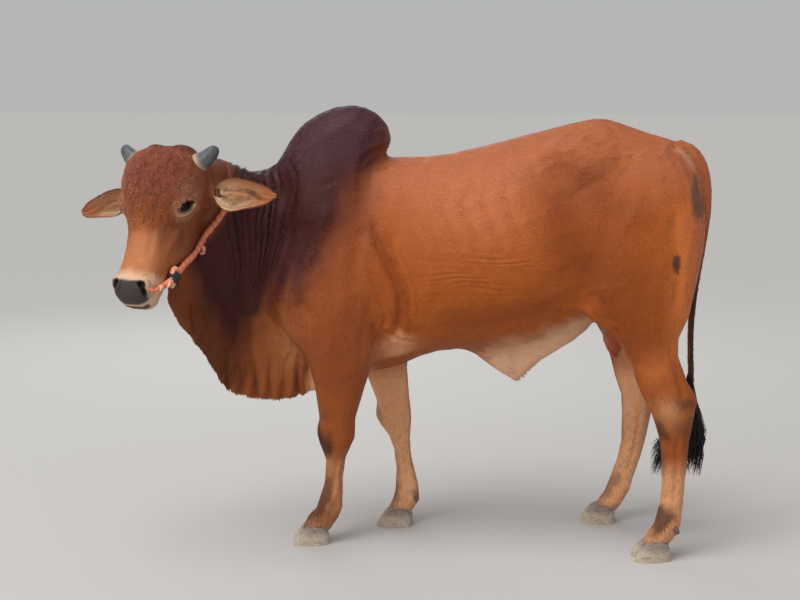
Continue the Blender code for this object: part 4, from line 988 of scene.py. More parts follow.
# Each leg's middle line as height, place along the body and place across it
LEG_MIDDLES = {
    (1, -1): ((0.04, -0.28, -0.13), (0.16, -0.228, -0.138), (0.33, -0.21, -0.146),
              (0.62, -0.20, -0.156)),
    (1, 1): ((0.04, 0.0, 0.107), (0.16, 0.016, 0.114), (0.33, -0.015, 0.125),
             (0.62, -0.09, 0.148)),
    (-1, -1): ((0.04, 0.87, -0.23), (0.16, 0.92, -0.216), (0.38, 0.93, -0.197),
               (0.62, 0.87, -0.18)),
    (-1, 1): ((0.04, 0.74, 0.196), (0.16, 0.79, 0.192), (0.38, 0.835, 0.184),
              (0.62, 0.81, 0.176)),
}
# Dark marks on the legs, by fore (1) or hind (-1) and left (-1) or right (1): the height, how
# the mark slants, how tall it is, how far forward or back it starts, and how strong it is
LEG_MARKS = {
    (1, -1): ((0.405, 0.0, 0.055, -0.020, None, 0.75), (0.352, 0.5, 0.045, 0.010, None, 0.85),
              (0.150, 0.0, 0.085, -0.004, None, 0.70), (0.120, 0.0, 0.035, 0.030, None, 0.35)),
    (1, 1): ((0.395, 0.0, 0.045, -0.030, None, 0.35), (0.135, 0.0, 0.070, -0.008, None, 0.55),
             (0.115, 0.0, 0.030, None, 0.006, 0.45)),
    (-1, -1): ((0.420, 0.35, 0.038, 0.000, None, 0.75), (0.455, 0.0, 0.045, None, 0.006, 0.40),
               (0.550, 0.0, 0.020, None, 0.034, 0.60), (0.135, 0.0, 0.042, 0.012, None, 0.85),
               (0.300, 0.0, 0.080, -0.012, None, 0.35)),
    (-1, 1): ((0.140, 0.0, 0.060, -0.006, None, 0.50), (0.440, 0.0, 0.050, None, 0.016, 0.30)),
}


def legs_coloured(colour, points, ragged):
    """Colours with each leg's pale inner side, made paler by painted bounce light, dark marks and a
    painted highlight on the hind hock.
    """
    x, y, z = points.T
    for (fore_side, left_side), rows in LEG_MIDDLES.items():
        heights, middle_x, middle_y = np.array(rows).T
        mine = (z < 0.64) & ((x < 0.4) == (fore_side > 0)) & ((y < 0) == (left_side < 0))
        back = x - np.interp(z, heights, middle_x) + ragged
        fade = np.where(mine, soft(z, 0.64, 0.52), 0.0) * soft(np.abs(back), 0.115, 0.095)
        inner = (y - np.interp(z, heights, middle_y)) * -left_side
        colour = blend(colour, TAN_WITH_BOUNCE_LIGHT, fade * soft(inner, -0.005, 0.030) * 0.9)
        colour = blend(colour, TAN_WITH_BOUNCE_LIGHT, fade * soft(z, 0.36, 0.26) * (0.34 if fore_side > 0 else 0.60))
        for height, slope, tall, front, rear, strength in LEG_MARKS[fore_side, left_side]:
            lane = soft(back, front, front - 0.030) if rear is None else soft(back, rear, rear + 0.030)
            mark = hump(z + slope * back + ragged, height, tall) * lane
            colour = blend(colour, LEG_DARK, fade * soft(mark, 0.10, 0.80) * strength)
        if fore_side < 0:
            # Painted highlight on the front of the hind hock
            light = hump(z, 0.505, 0.045) * hump(back, 0.010, 0.055) * soft(inner, 0.02, -0.01)
            colour = blend(colour, TAN_WITH_BOUNCE_LIGHT, fade * light * 0.42)
    return colour


def hide_colour(points):
    """The coat's colour at each place, with painted shade in hollows and painted sheen on the back."""
    x, y, z = points.T
    side = np.abs(y)
    ragged = waves(points, 0.20, 31) * 0.02 + waves(points, 0.06, 32) * 0.008
    edge = fold_x(DARK_EDGE, z)
    dark = soft(x + ragged, edge + 0.105, edge - 0.105) ** 1.2
    streak = waves(points * (1, 1, 0.20), 0.045, 37)
    least = np.interp(x, *DARK_LEAST)
    patch = hump(x, 0.990, 0.030) * hump(z + ragged * 0.6, 1.20, 0.085) * soft(side, 0.06, 0.09)
    values = {
        "x": x, "z": z, "side": side, "ragged_x": x + ragged, "ragged_z": z + ragged,
        "brisket": soft(x, -0.30, -0.40) * soft(z + ragged * 2, 0.98, 0.84),
        "slanted": z + ragged + 0.4 * (x + 0.40),
        "neck": dark * soft(z + ragged + 0.035 * streak, least - 0.11, least + 0.12),
        "belly": z + ragged - np.interp(x, *BELLY_LINE),
        "speck": waves(points, 0.020, 35) + waves(points, 0.009, 36) * 0.8,
        "patch": patch,
        "patch_side": np.where(y < 0, 0.85, 0.5),
        "crease": to_line(points, TAIL_CREASE)[0],
        "spot": hump(x, 0.917, 0.014) * hump(z, 0.997, 0.032) * (y < -0.15),
    }
    colour = layered(np.tile(HIDE_RED, (len(points), 1)), values, HIDE_LAYERS)
    # Painted shade along the hollows, on both sides
    for line, width, strength in SHADES:
        for way in (1, -1):
            apart = to_line(points, [(a, b * way, c) for a, b, c in line])[0]
            colour = blend(colour, SHADE_BROWN, strength * hump(apart, 0, width))
    colour = layered(colour, values, LEG_LAYERS)
    colour = layered(legs_coloured(colour, points, ragged), values, LAST_LAYERS)
    share = soft(near_head(points), -0.012, 0.030)[:, None]
    return colour * (1 - share) + face_colour(points) * share


def face_colour(points):
    """The face's own colours at each place."""
    down, left, out = to_head(points).T
    side = np.abs(left)
    ragged = waves(points, 0.05, 41) * 0.008
    eyes = [np.linalg.norm(points - eye_frame(way)[0], axis=1) for way, _ in SIDES]
    values = {"down": down, "out": out, "side": side, "side_r": side + ragged, "down_r": down + ragged,
              "down_04r": down + ragged * 0.4, "down_2r": down + ragged * 2, "down_3r": down + ragged * 3,
              "eye": np.minimum(*eyes)}
    return layered(np.tile(FACE_BROWN, (len(points), 1)), values, FACE_LAYERS)


def mottled(colours, points, spread, seed):
    """Small uneven changes of brightness."""
    change = 1 + spread * waves(points, 0.05, seed) + spread * 0.7 * waves(points, 0.016, seed + 1)
    return colours * np.clip(change, 0.5, 1.5)[:, None]


# Materials

def material(name, roughness, specular):
    """A named material, its node tree and its shader."""
    made = bpy.data.materials.new(name)
    made.use_nodes = True
    shader = made.node_tree.nodes["Principled BSDF"]
    shader.inputs["Roughness"].default_value = roughness
    shader.inputs["Specular IOR Level"].default_value = specular
    return made, made.node_tree, shader


def node(tree, kind, **values):
    """A shader node with some of its settings and inputs."""
    made = tree.nodes.new(kind)
    for name, value in values.items():
        if name in made.inputs:
            made.inputs[name].default_value = value
        else:
            setattr(made, name, value)
    return made


GRAIN_RANGE = (0.3, 0.7)
# Finishes: roughness, how the grain is stretched, its scale, its darkest and lightest tint,
# the relief's strength and depth, and the shine
FINISHES = {
    "hide": (0.50, (0.35, 1.0, 1.0), 260.0, (0.90, 1.08), 0.22, 0.0008, 0.22),
    "coat": (0.46, (0.35, 1.0, 1.0), 320.0, (0.94, 1.05), 0.10, 0.0004, 0.22),
    "ear": (0.60, (1.0, 1.0, 1.0), 220.0, (0.88, 1.10), 0.30, 0.0008, 0.20),
    "horn": (0.40, (1.0, 1.0, 1.0), 160.0, (0.80, 1.15), 0.30, 0.0006, 0.35),
    "hoof": (0.60, (1.0, 1.0, 3.0), 90.0, (0.72, 1.22), 0.40, 0.0010, 0.35),
    "eye": (0.10, (1.0, 1.0, 1.0), 200.0, (0.90, 1.10), 0.00, 0.0001, 0.20),
    "switch_hair": (0.42, (1.0, 1.0, 0.3), 300.0, (0.70, 1.30), 0.10, 0.0004, 0.35),
    "rope": (0.80, (1.0, 1.0, 1.0), 420.0, (0.80, 1.18), 0.50, 0.0008, 0.15),
    "strip": (0.45, (1.0, 1.0, 1.0), 200.0, (0.80, 1.20), 0.30, 0.0006, 0.35),
}


def painted(name, roughness, stretch, scale, grain, bump, distance, specular):
    """A material that takes its points' tint, with grain in colour and relief."""
    made, tree, shader = material(name, roughness, specular)
    tint = node(tree, "ShaderNodeVertexColor")
    tint.layer_name = "tint"
    where = node(tree, "ShaderNodeTexCoord")
    mapping = node(tree, "ShaderNodeMapping", Scale=stretch)
    noise = node(tree, "ShaderNodeTexNoise", Scale=scale, Detail=4.0, Roughness=0.6)
    ramp = node(tree, "ShaderNodeMapRange")
    for end, grey, shade in zip(("Min", "Max"), GRAIN_RANGE, grain):
        ramp.inputs["From " + end].default_value = grey
        ramp.inputs["To " + end].default_value = shade
    mix = node(tree, "ShaderNodeMix", data_type="RGBA", blend_type="MULTIPLY")
    mix.inputs["Factor"].default_value = 1.0
    relief = node(tree, "ShaderNodeBump", Strength=bump, Distance=distance)
    for source, output, target, slot in (
            (where, "Object", mapping, "Vector"), (mapping, "Vector", noise, "Vector"),
            (noise, "Fac", ramp, "Value"), (tint, "Color", mix, "A"), (ramp, "Result", mix, "B"),
            (mix, "Result", shader, "Base Color"), (noise, "Fac", relief, "Height"),
            (relief, "Normal", shader, "Normal")):
        tree.links.new(source.outputs[output], target.inputs[slot])
    return made


LOOKS = {name: painted(name, *values) for name, values in FINISHES.items()}


def dress(obj, slot, *replaced):
    """Sets a piece on the body's root and hides the nodes that it stands for; the slot, which names where
    it takes its finish from, is not used.
    """
    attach(obj, "root")
    if replaced:
        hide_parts(*replaced)


def finished(name, mesh, colours, look, slot, *replaced):
    """A piece with its colours and material, riding on the body."""
    paint(mesh, colours)
    mesh.materials.clear()
    mesh.materials.append(LOOKS[look])
    dress(new_object(name, mesh), slot, *replaced)


# Stage

FLOOR_HALF = 60
FLOOR_GREY = (0.52, 0.51, 0.495, 1.0)
SKY_COLOUR = (0.93, 0.94, 0.96, 1.0)
SKY_STRENGTH = 0.50
SUN_STRENGTH = 1.70
SUN_SPREAD = 42
SUN_COLOUR = (1.0, 0.98, 0.95)
SUN_WAY = (0.30, 0.32, -1.0)
LAMP_AIM = (0.0, 0.0, 0.8)
# Lamps: name, place, size, power and colour
LAMPS = (
    ("key", (-3.4, -4.0, 3.2), 2.4, 95.0, (1.0, 0.97, 0.93)),
    ("fill", (3.6, -3.6, 1.8), 3.0, 12.0, (0.95, 0.97, 1.0)),
    ("rim", (-1.2, 4.2, 3.0), 3.0, 40.0, (0.92, 0.96, 1.0)),
)


def light(name, kind, power, colour, way):
    """A light in the scene that shines one way, and its object."""
    data = bpy.data.lights.new(name, kind)
    data.energy = power
    data.color = colour
    lamp = new_object(name, data)
    lamp.rotation_euler = Vector(way).to_track_quat("-Z", "Y").to_euler()
    return data, lamp


def stage():
    """Floor, soft studio light and camera."""
    floor = bpy.data.meshes.new("floor")
    corners = [(x * FLOOR_HALF, y * FLOOR_HALF, 0) for x, y in ((-1, -1), (1, -1), (1, 1), (-1, 1))]
    floor.from_pydata(corners, [], [(0, 1, 2, 3)])
    ground = new_object("floor", floor)
    made, _, shader = material("floor", 0.9, 0.1)
    shader.inputs["Base Color"].default_value = FLOOR_GREY
    floor.materials.append(made)
    world = bpy.data.worlds.new("studio")
    world.use_nodes = True
    sky = world.node_tree.nodes["Background"]
    sky.inputs["Color"].default_value = SKY_COLOUR
    sky.inputs["Strength"].default_value = SKY_STRENGTH
    bpy.context.scene.world = world
    sun, _ = light("sun", "SUN", SUN_STRENGTH, SUN_COLOUR, SUN_WAY)
    sun.angle = math.radians(SUN_SPREAD)
    for name, spot, size, power, colour in LAMPS:
        data, lamp = light(name, "AREA", power, colour, Vector(LAMP_AIM) - Vector(spot))
        data.shape = "SQUARE"
        data.size = size
        lamp.location = spot
    data = bpy.data.cameras.new("camera")
    data.lens = CAMERA_LENS
    data.sensor_width = CAMERA_SENSOR
    camera = new_object("camera", data)
    camera.location = np.array(CAMERA_PLACE) + SHIFT
    camera.rotation_euler = [math.radians(angle) for angle in CAMERA_TURN]
    bpy.context.scene.camera = camera
    bpy.context.scene.view_settings.view_transform = "Standard"


# Eyes and lids

# The lids' rings, from under the lid's edge out to the skin: how wide, and how far off the globe
LID_RING = 88
LID_REACH = (1.16, 1.07, 1.0, 0.985, 1.0, 1.05, 1.12, 1.20, 1.29, 1.38, 1.48, 1.60, 1.74, 1.90,
             2.10, 2.32)
LID_LIFT = (-0.002, -0.0006, 0.0004, 0.0014, 0.0026, 0.0031, 0.0034) + (0.0036,) * 9
LASH_COUNT = 46
LASH_WIDTHS = (0.0004, 0.0004, 0.00035, 0.0002, 0.00005)
EYE_LAYERS = (
    (IRIS_DARK, 1.0, ("flat", 0.0175, 0.0155)),
    (IRIS_FIBRE, 0.35, ("flat", 0.0150, 0.010), "fibres"),
    (PUPIL_BLACK, 1.0, ("pupil", 1.10, 0.90)),
    (EYE_CORNER, 0.6, ("s", 0.0165, 0.0195)),
)


def lid_edge(reach, turn):
    """Places round an eye in its own plane: the lid's edge, widened by reach."""
    s = LID_LENGTH * np.cos(turn)
    skew = 1 - 0.30 * np.cos(turn)
    rise = np.where(np.sin(turn) > 0, LID_UPPER * skew, LID_LOWER)
    t = rise * np.sign(np.sin(turn)) * np.abs(np.sin(turn)) ** 1.25
    s = s + soft(np.cos(turn), 0.75, 1.0) * 0.0045
    grow = np.array(reach)[:, None]
    wide = grow ** np.where(np.abs(np.cos(turn)) > 0.6, 0.85, 1.0)[None, :]
    return s[None, :] * wide, t[None, :] * (1 + (grow - 1) * 1.45)


def lids(side, tree):
    """A ring of lids from the eyeball out to the skin, with folds: points, faces, tints."""
    centre, look, slit, across = eye_frame(side)
    turn = turns(LID_RING)
    s, t = lid_edge(LID_REACH, turn)
    ball = EYE_RADIUS + np.array(LID_LIFT)[:, None]
    out = np.sqrt(np.clip(ball ** 2 - s ** 2 - t ** 2, 0.0068 ** 2, None))
    wide = np.array(LID_REACH)[:, None]
    share = soft(wide[:, 0], 1.06, 1.95)
    upper = np.clip(np.sin(turn), 0, 1)[None, :]
    lower = np.clip(-np.sin(turn), 0, 1)[None, :]
    fold = (-0.0026 * hump(wide, 1.42, 0.07) + 0.0022 * hump(wide, 1.62, 0.12)) * upper ** 0.5
    fold += (-0.0016 * hump(wide, 1.40, 0.06) + 0.0010 * hump(wide, 1.52, 0.08)
             - 0.0013 * hump(wide, 1.74, 0.08)) * lower ** 0.5
    points = np.empty((len(LID_REACH), LID_RING, 3))
    for row in range(len(LID_REACH)):
        for step in range(LID_RING):
            spot = centre + slit * s[row, step] + across * t[row, step]
            hit = tree.ray_cast(Vector(spot + look * 0.06), Vector(-look), 0.09)[0]
            skin_out = (np.array(hit) - spot) @ look if hit is not None else out[row, step]
            level = out[row, step] * (1 - share[row]) + skin_out * share[row]
            points[row, step] = spot + look * (level + fold[row, step])
    points[-1] -= look * 0.0012
    points = points.reshape(-1, 3)
    margin = soft(wide, 1.46, 1.16) * (0.60 + 0.40 * upper) + soft(wide, 1.66, 1.4) * upper * 0.45
    tear = soft(np.cos(turn), 0.84, 0.97)[None, :] * soft(wide, 2.3, 1.8)
    pale = soft(wide, 1.25, 1.45) * soft(wide, 2.1, 1.7) * np.clip(lower + 0.35 * upper, 0, 1)
    values = {"pale": pale.ravel(), "dark": np.clip(np.maximum(margin, tear), 0, 1).ravel(),
              "wet": (hump(wide, 0.992, 0.012) * lower).ravel()}
    # Pale ring, dark lid margins, and painted sheen on the lower lid's wet rim
    colours = layered(hide_colour(points), values, (
        (CREAM * 0.85, 0.55, "pale"), (LID_BLACK, 0.93, "dark"), (LID_RIM_SHEEN, 0.6, "wet")))
    return points, grid(len(LID_REACH), LID_RING)[:, ::side], colours


def lashes(side):
    """A row of short dark lashes along the upper lid."""
    centre, look, slit, across = eye_frame(side)
    draw = np.random.default_rng(61)
    parts = []
    for share in np.linspace(0.10, 0.90, LASH_COUNT):
        s, t = (value[0, 0] for value in lid_edge((0.99,), np.array([share * math.pi])))
        out = math.sqrt(max((EYE_RADIUS + 0.001) ** 2 - s ** 2 - t ** 2, 4e-5))
        root = centre + slit * s + across * t + look * out
        away = unit(look * 0.9 + slit * s / LID_LENGTH * 0.7 + across * 0.15
                    + draw.normal(size=3) * 0.08)
        length = draw.uniform(0.006, 0.009)
        bend = across * length * 0.25
        path = [root - away * 0.001, root + away * length * 0.5 - bend * 0.1,
                root + away * length + bend]
        parts.append(tube(smooth_rows(path, len(LASH_WIDTHS)), np.array(LASH_WIDTHS), ring=4,
                          hint=(0.1, 0.2, 1.0)))
    return parts


def eyeball(side):
    """A globe with a dark brown iris and a level oval pupil."""
    centre, look, slit, across = eye_frame(side)
    points, faces = ellipsoid(centre, (slit, across, look), (EYE_RADIUS,) * 3, rings=60, ring=72)
    s, t, o = (np.array((slit, across, look)) @ (points - centre).T)
    flat = np.sqrt(s ** 2 + t ** 2)
    bulge = 0.0012 * soft(flat, 0.0125, 0.0) * (o > 0)
    points = points + look * bulge[:, None]
    values = {"flat": flat, "s": s, "fibres": 0.5 + 0.5 * np.sin(np.arctan2(t, s) * 42),
              "pupil": np.sqrt((s / 0.0105) ** 2 + (t / 0.0065) ** 2)}
    return points, faces, layered(np.tile(EYE_BROWN, (len(points), 1)), values, EYE_LAYERS)


# Ears

EAR_BASES = {1: (0.098, 0.170, -0.122), -1: (0.120, 0.118, -0.120)}
EAR_TIPS = {1: (0.103, 0.388, -0.125), -1: (0.184, 0.352, -0.120)}
EAR_SCALES = {1: 1.0, -1: 0.84}
EAR_FACE = (0.22, 0.0, 0.97)
EAR_THICK = 0.0045
EAR_SECTIONS = (
    (0.046, 140.0), (0.062, 100.0), (0.069, 78.0), (0.068, 66.0), (0.062, 58.0),
    (0.055, 52.0), (0.048, 48.0), (0.040, 45.0), (0.029, 42.0), (0.010, 38.0),
)
EAR_ROWS = 60
EAR_GRID = (56, 45)
# Layers of the ear's cup, by the share along it and how low across it; the brown of its folds and the
# dark of its opening are painted shade
EAR_LAYERS = (
    (EAR_FOLD_SHADE, 0.85, ("folds", 0.25, 0.95)),
    (EAR_TIP, 0.6, ("~share", 0.86, 0.12)),
    (EAR_PALE, 0.75, ("share_r", 0.34, 0.10)),
    (CREAM, 0.7, ("low_r", 0.72, 0.95), ("share", 0.80, 0.35)),
    (EAR_OPENING_SHADE, 1.0, ("middle", 0.24, 0.05), ("share", 0.20, 0.08)),
)


def ear_frame(side):
    """An ear's base, tip, and its directions along, across and out of the cup."""
    base = from_head(mirrored(EAR_BASES[side], side))
    tip = from_head(mirrored(EAR_TIPS[side], side))
    along = unit(tip - base)
    face = np.array(EAR_FACE) @ AXES
    face = unit(face - along * (face @ along))
    return base, tip, along, np.cross(along, face), face


def ear_sheet(side, share, column, lift):
    """Places on the ear: share along it, column from -1 to 1 across, lift off the outer sheet."""
    base, tip, _, across, face = ear_frame(side)
    rows = smooth_rows(EAR_SECTIONS, EAR_ROWS)
    at = share * (EAR_ROWS - 1)
    half = np.interp(at, np.arange(EAR_ROWS), rows[:, 0]) * EAR_SCALES[side]
    wrap = np.radians(np.interp(at, np.arange(EAR_ROWS), rows[:, 1]))
    lower = np.sign(column) * side > 0
    half = half * np.where(lower, 1.0 + 0.16 * hump(share, 0.33, 0.2), 0.84)
    bend = half / wrap
    angle = column * wrap
    radius = np.maximum(bend - lift, bend * 0.3)
    middle = base + (tip - base) * (share ** 0.9)[:, None]
    curl = face * (0.008 * np.sin(share * math.pi) * np.abs(column) ** 2)[:, None]
    swing = radius[:, None] * (across * np.sin(angle)[:, None] - face * np.cos(angle)[:, None])
    wave = face * (0.0025 * np.sin(column * 7 + share * 5) * share)[:, None]
    return middle + face * bend[:, None] + swing + curl + wave


def ear_tint(side, share, column, spots, inside):
    """The ear's colours at shares along it and columns across it, with painted shade in the cup's folds
    and opening, and over the far ear's whole cup.
    """
    if not inside:
        return blend(np.tile(EAR_BACK, (len(share), 1)), EAR_ROOT, soft(share, 0.15, 0.0) * 0.5)
    low = column * side
    drift = 0.25 * waves(spots, 0.05, 61) + 0.04 * waves(spots, 0.018, 62)
    folds = hump(share - 0.42 * low, 0.62, 0.13) * soft(np.abs(low - 0.12), 0.62, 0.30)
    folds = folds + hump(share, 0.30, 0.13) * hump(low, 0.62, 0.24)
    values = {"share": share, "folds": folds + drift * 0.5, "share_r": share + drift * 0.3,
              "low_r": low + drift * 0.2, "middle": np.abs(low - 0.30)}
    cup = layered(np.tile(EAR_CUP, (len(share), 1)), values, EAR_LAYERS)
    return blend(cup, EAR_SHADE, np.full(len(share), 0.35)) if side < 0 else cup


def ear(side):
    """The cupped ear with a thick base, a thin rolled rim and inner ridges."""
    count, columns = EAR_GRID
    share, column = np.meshgrid(np.linspace(0, 1, count), np.linspace(-1, 1, columns),
                                indexing="ij")
    share, column = share.ravel(), column.ravel()
    thick = EAR_THICK * (1 - 0.55 * np.abs(column) ** 3) * (1.2 - 0.6 * share)
    ridges = 0.0016 * np.cos(column * 9.0) * soft(share, 0.75, 0.25) * (1 - np.abs(column))
    outer = ear_sheet(side, share, column, np.zeros_like(share))
    inner = ear_sheet(side, share, column, thick + ridges)
    quads = grid(count, columns, closed=False)
    total = count * columns
    border = np.concatenate([np.arange(columns), np.arange(1, count) * columns + columns - 1,
                             total - 1 - np.arange(1, columns),
                             (np.arange(count - 2, 0, -1)) * columns])
    after = np.roll(border, -1)
    rim = np.stack([border, after, after + total, border + total], axis=1)
    faces = np.concatenate([quads[:, ::-1], quads + total, rim])[:, ::side]
    colours = np.concatenate([ear_tint(side, share, column, outer, False),
                              ear_tint(side, share, column, outer, True)])
    edge = soft(np.abs(np.concatenate([column, column])), 0.95, 1.0)
    return np.concatenate([outer, inner]), faces, blend(colours, EAR_RIM, edge * 0.5)


# Horns

HORN = (
    (0.036, 0.086, -0.056, 0.0335),
    (0.034, 0.092, -0.055, 0.0335),
    (0.027, 0.118, -0.053, 0.033),
    (0.014, 0.142, -0.050, 0.029),
    (-0.002, 0.162, -0.046, 0.024),
    (-0.016, 0.177, -0.043, 0.0185),
    (-0.0215, 0.1845, -0.0412, 0.0115),
    (-0.0245, 0.188, -0.040, 0.003),
)
HORN_GRID = (72, 40)
HORN_LAYERS = (
    (HORN_RING, 0.3, ("rings", 0.0, 1.0)),
    (HORN_SLATE, 0.6, ("way", 0.45, 0.9)),
    (HORN_STREAK, 0.4, ("streak", 0.0, 1.0)),
    (HORN_COLLAR, 0.85, ("way", 0.44, 0.34)),
    (HORN_SKIN, 1.0, ("way", 0.33, 0.27)),
)


def horn(side):
    """A short blunt horn with growth rings and a pale collar of skin at its root."""
    count, ring = HORN_GRID
    rows = smooth_rows([(*mirrored(row[:3], side), row[3]) for row in HORN], count)
    share = np.linspace(0, 1, count)
    rings = 0.00022 * np.sin(share * 82 + 0.8 * np.sin(share * 9)) * soft(share, 0.90, 0.6)
    collar = 0.0020 * hump(share, 0.20, 0.06)
    points, faces = tube(from_head(rows[:, :3]), rows[:, 3] + rings + collar, ring=ring,
                         hint=(0, 0, 1))
    way = np.repeat(share, ring)
    values = {"way": way, "rings": np.sin(way * 82), "streak": waves(points, 0.02, 72)}
    colours = layered(np.tile(HORN_GREY, (len(points), 1)), values, HORN_LAYERS)
    spot = hump(way, 0.62, 0.10) * soft(waves(points, 0.03, 71), -0.2, 0.8)
    return points, faces, blend(colours, HORN_BLOT, spot * (0.85 if side > 0 else 0.4))


# Feet

# Each foot's place, and how far it turns out in degrees
FEET = {
    "fore_left": (-0.297, -0.128, -6.0),
    "fore_right": (-0.022, 0.107, 5.0),
    "hind_left": (0.861, -0.230, -8.0),
    "hind_right": (0.709, 0.196, 8.0),
}
# A claw's rows: height, reach to the toe, reach to the heel, half width
CLAW = (
    (0.000, 0.066, 0.056, 0.025), (0.014, 0.064, 0.056, 0.026), (0.032, 0.052, 0.054, 0.025),
    (0.046, 0.040, 0.050, 0.024), (0.058, 0.024, 0.044, 0.020), (0.064, 0.008, 0.034, 0.012),
)
CLAW_GRID = (34, 56)
CLAW_APART = 0.030
CLAW_TURN = 4.0
CLAW_CORNER = 2 / 2.3
CLAW_LAYERS = (
    (HOOF_GREY, 0.75, ("z", 0.026, 0.058)),
    (HOOF_DUST, 0.7, ("z", 0.020, 0.002)),
    (HOOF_CRACK, 0.5, ("cracks", 0.5, 1.2)),
)
# Dewclaws: how far behind the foot's middle, and how high
DEWCLAWS = {
    "fore_left": (0.092, 0.108), "fore_right": (0.078, 0.103),
    "hind_left": (0.086, 0.105), "hind_right": (0.090, 0.110),
}
DEWCLAW_RADII = (0.010, 0.0085, 0.018)
DEWCLAW_TILT = -35


def claw(foot, inner):
    """One hoof claw with level growth rings and a worn, dusty edge."""
    x, y, turn = FEET[foot]
    count, ring = CLAW_GRID
    rows = smooth_rows(CLAW, count)
    rows[:, 0] = np.maximum(rows[:, 0], 0)
    angle = math.radians(turn + CLAW_TURN * inner)
    ahead = np.array((-math.cos(angle), math.sin(angle), 0.0))
    aside = np.array((math.sin(angle), math.cos(angle), 0.0))
    middle = np.array((x, y, 0.0)) + aside * CLAW_APART * inner
    around = turns(ring)
    wide = np.sign(np.cos(around)) * np.abs(np.cos(around)) ** CLAW_CORNER
    long = np.sign(np.sin(around)) * np.abs(np.sin(around)) ** CLAW_CORNER
    reach = np.where(np.sin(around) > 0, rows[:, 1:2], rows[:, 2:3])
    growth = 1 + 0.010 * np.sin(rows[:, :1] * 780 + 0.7 * np.sin(around) * 2)
    growth = np.where(rows[:, :1] < 0.004, 1.0, growth)
    points = (middle + rows[:, None, :1] * np.array((0.0, 0.0, 1.0))
              + ahead * (reach * long * growth)[..., None]
              + aside * (rows[:, 3:4] * wide * growth)[..., None]).reshape(-1, 3)
    values = {"z": points[:, 2], "cracks": waves(points * (1, 1, 3), 0.016, 81)}
    colours = layered(np.tile(HOOF_PALE, (len(points), 1)), values, CLAW_LAYERS)
    return points, np.concatenate([grid(count, ring), end_caps(count, ring)]), colours


def dewclaw(foot, inner):
    """One small blunt claw behind the fetlock."""
    x, y, _ = FEET[foot]
    behind, height = DEWCLAWS[foot]
    tilt = math.radians(DEWCLAW_TILT)
    axes = ((math.cos(tilt), 0, -math.sin(tilt)), (0, 1, 0), (math.sin(tilt), 0, math.cos(tilt)))
    points, faces = ellipsoid((x + behind - 0.010, y + 0.018 * inner, height), axes,
                              DEWCLAW_RADII, rings=18, ring=26)
    return points, faces, np.tile(DEWCLAW_GREY, (len(points), 1))


# Tail tuft

STRAND_COUNT = 900
STRAND_RING = 4
STRAND_TAPER = (0.8, 1.0, 1.0, 0.95, 0.85, 0.7, 0.5, 0.3, 0.06)
STRAND_ROWS = len(STRAND_TAPER)


def switch_strands():
    """Long tapered strands that fall from the tail's end in two ragged bunches."""
    draw = np.random.default_rng(7)
    parts, tints = [], []
    for _ in range(STRAND_COUNT):
        share = draw.uniform(0, 1)
        share = 0.08 + share * 0.24 if draw.uniform() < 0.36 else 0.50 + share * 0.50
        aside = draw.normal() * 0.45
        top = draw.uniform(0.44, 0.60)
        tip = np.array((0.855 + 0.190 * share, 0.020 * aside, draw.uniform(0.222, 0.34)))
        belly = np.array((0.922 + 0.128 * share, 0.032 * aside, draw.uniform(0.335, 0.40)))
        root = np.array((0.996 + 0.008 * share, 0.008 * aside, top))
        curl = draw.normal(size=3) * (0.006, 0.006, 0.0)
        path = smooth_rows([root, (root + belly) / 2, belly + curl,
                            (belly + tip) / 2 - curl * 0.8, tip], STRAND_ROWS)
        parts.append(tube(path, draw.uniform(0.0011, 0.0024) * np.array(STRAND_TAPER),
                          ring=STRAND_RING, hint=(0.2, 1.0, 0.1)))
        shade = SWITCH_BLACK if draw.uniform() < 0.7 else SWITCH_BROWN
        tints.append(np.tile(shade * draw.uniform(0.6, 1.2), (len(parts[-1][0]), 1)))
    return parts, np.concatenate(tints)


# Halter

HALTER = (
    (0.020, 0.000, -0.262),
    (0.026, 0.060, -0.256),
    (0.048, 0.115, -0.238),
    (0.080, 0.146, -0.218),
    (0.117, 0.153, -0.203),
    (0.156, 0.142, -0.197),
    (0.189, 0.128, -0.193),
    (0.224, 0.110, -0.186),
    (0.252, 0.101, -0.182),
    (0.285, 0.100, -0.167),
    (0.316, 0.095, -0.153),
    (0.342, 0.092, -0.139),
    (0.365, 0.090, -0.127),
    (0.395, 0.088, -0.107),
    (0.427, 0.084, -0.084),
    (0.450, 0.080, -0.050),
    (0.466, 0.074, -0.026),
)
ROPE_RADIUS = 0.0096
ROPE_STRANDS = 3
ROPE_STEP = 0.0022
ROPE_CLEAR = 0.001
NAPE_SINK = 0.0052
STRAND_TURN = 0.021
# Knots of the rope: how far down the face, and how wide
KNOTS = ((0.424, 0.0125), (0.448, 0.0105))
KNOT_TURNS = 4
KNOT_STEPS = 28
# The frayed loop on the left: how far down the face, and its course in the head's frame
LOOP_AT = 0.262
LOOP = ((0, 0, 0), (0, 0.008, -0.006), (0.008, 0.011, -0.015), (0.018, 0.008, -0.018),
        (0.024, 0.004, -0.010))
# The strip on the left: how far down the face, its knots along and across, and its ends' lean
STRIP_AT = 0.395
STRIP_KNOTS = ((0.020, 0.012), (-0.008, -0.021))
STRIP_TURNS = 2.6
STRIP_STEPS = 70
STRIP_LEANS = (-0.40, 0.10, 0.45)
STRIP_WIDTHS = (1, 1, 1, 1, 0.9, 0.8, 0.5)


def nearest(tree, point):
    """The skin's place nearest to a point, and its outward direction there."""
    spot, normal, _, _ = tree.find_nearest(Vector(point))
    return np.array(spot), np.array(normal)


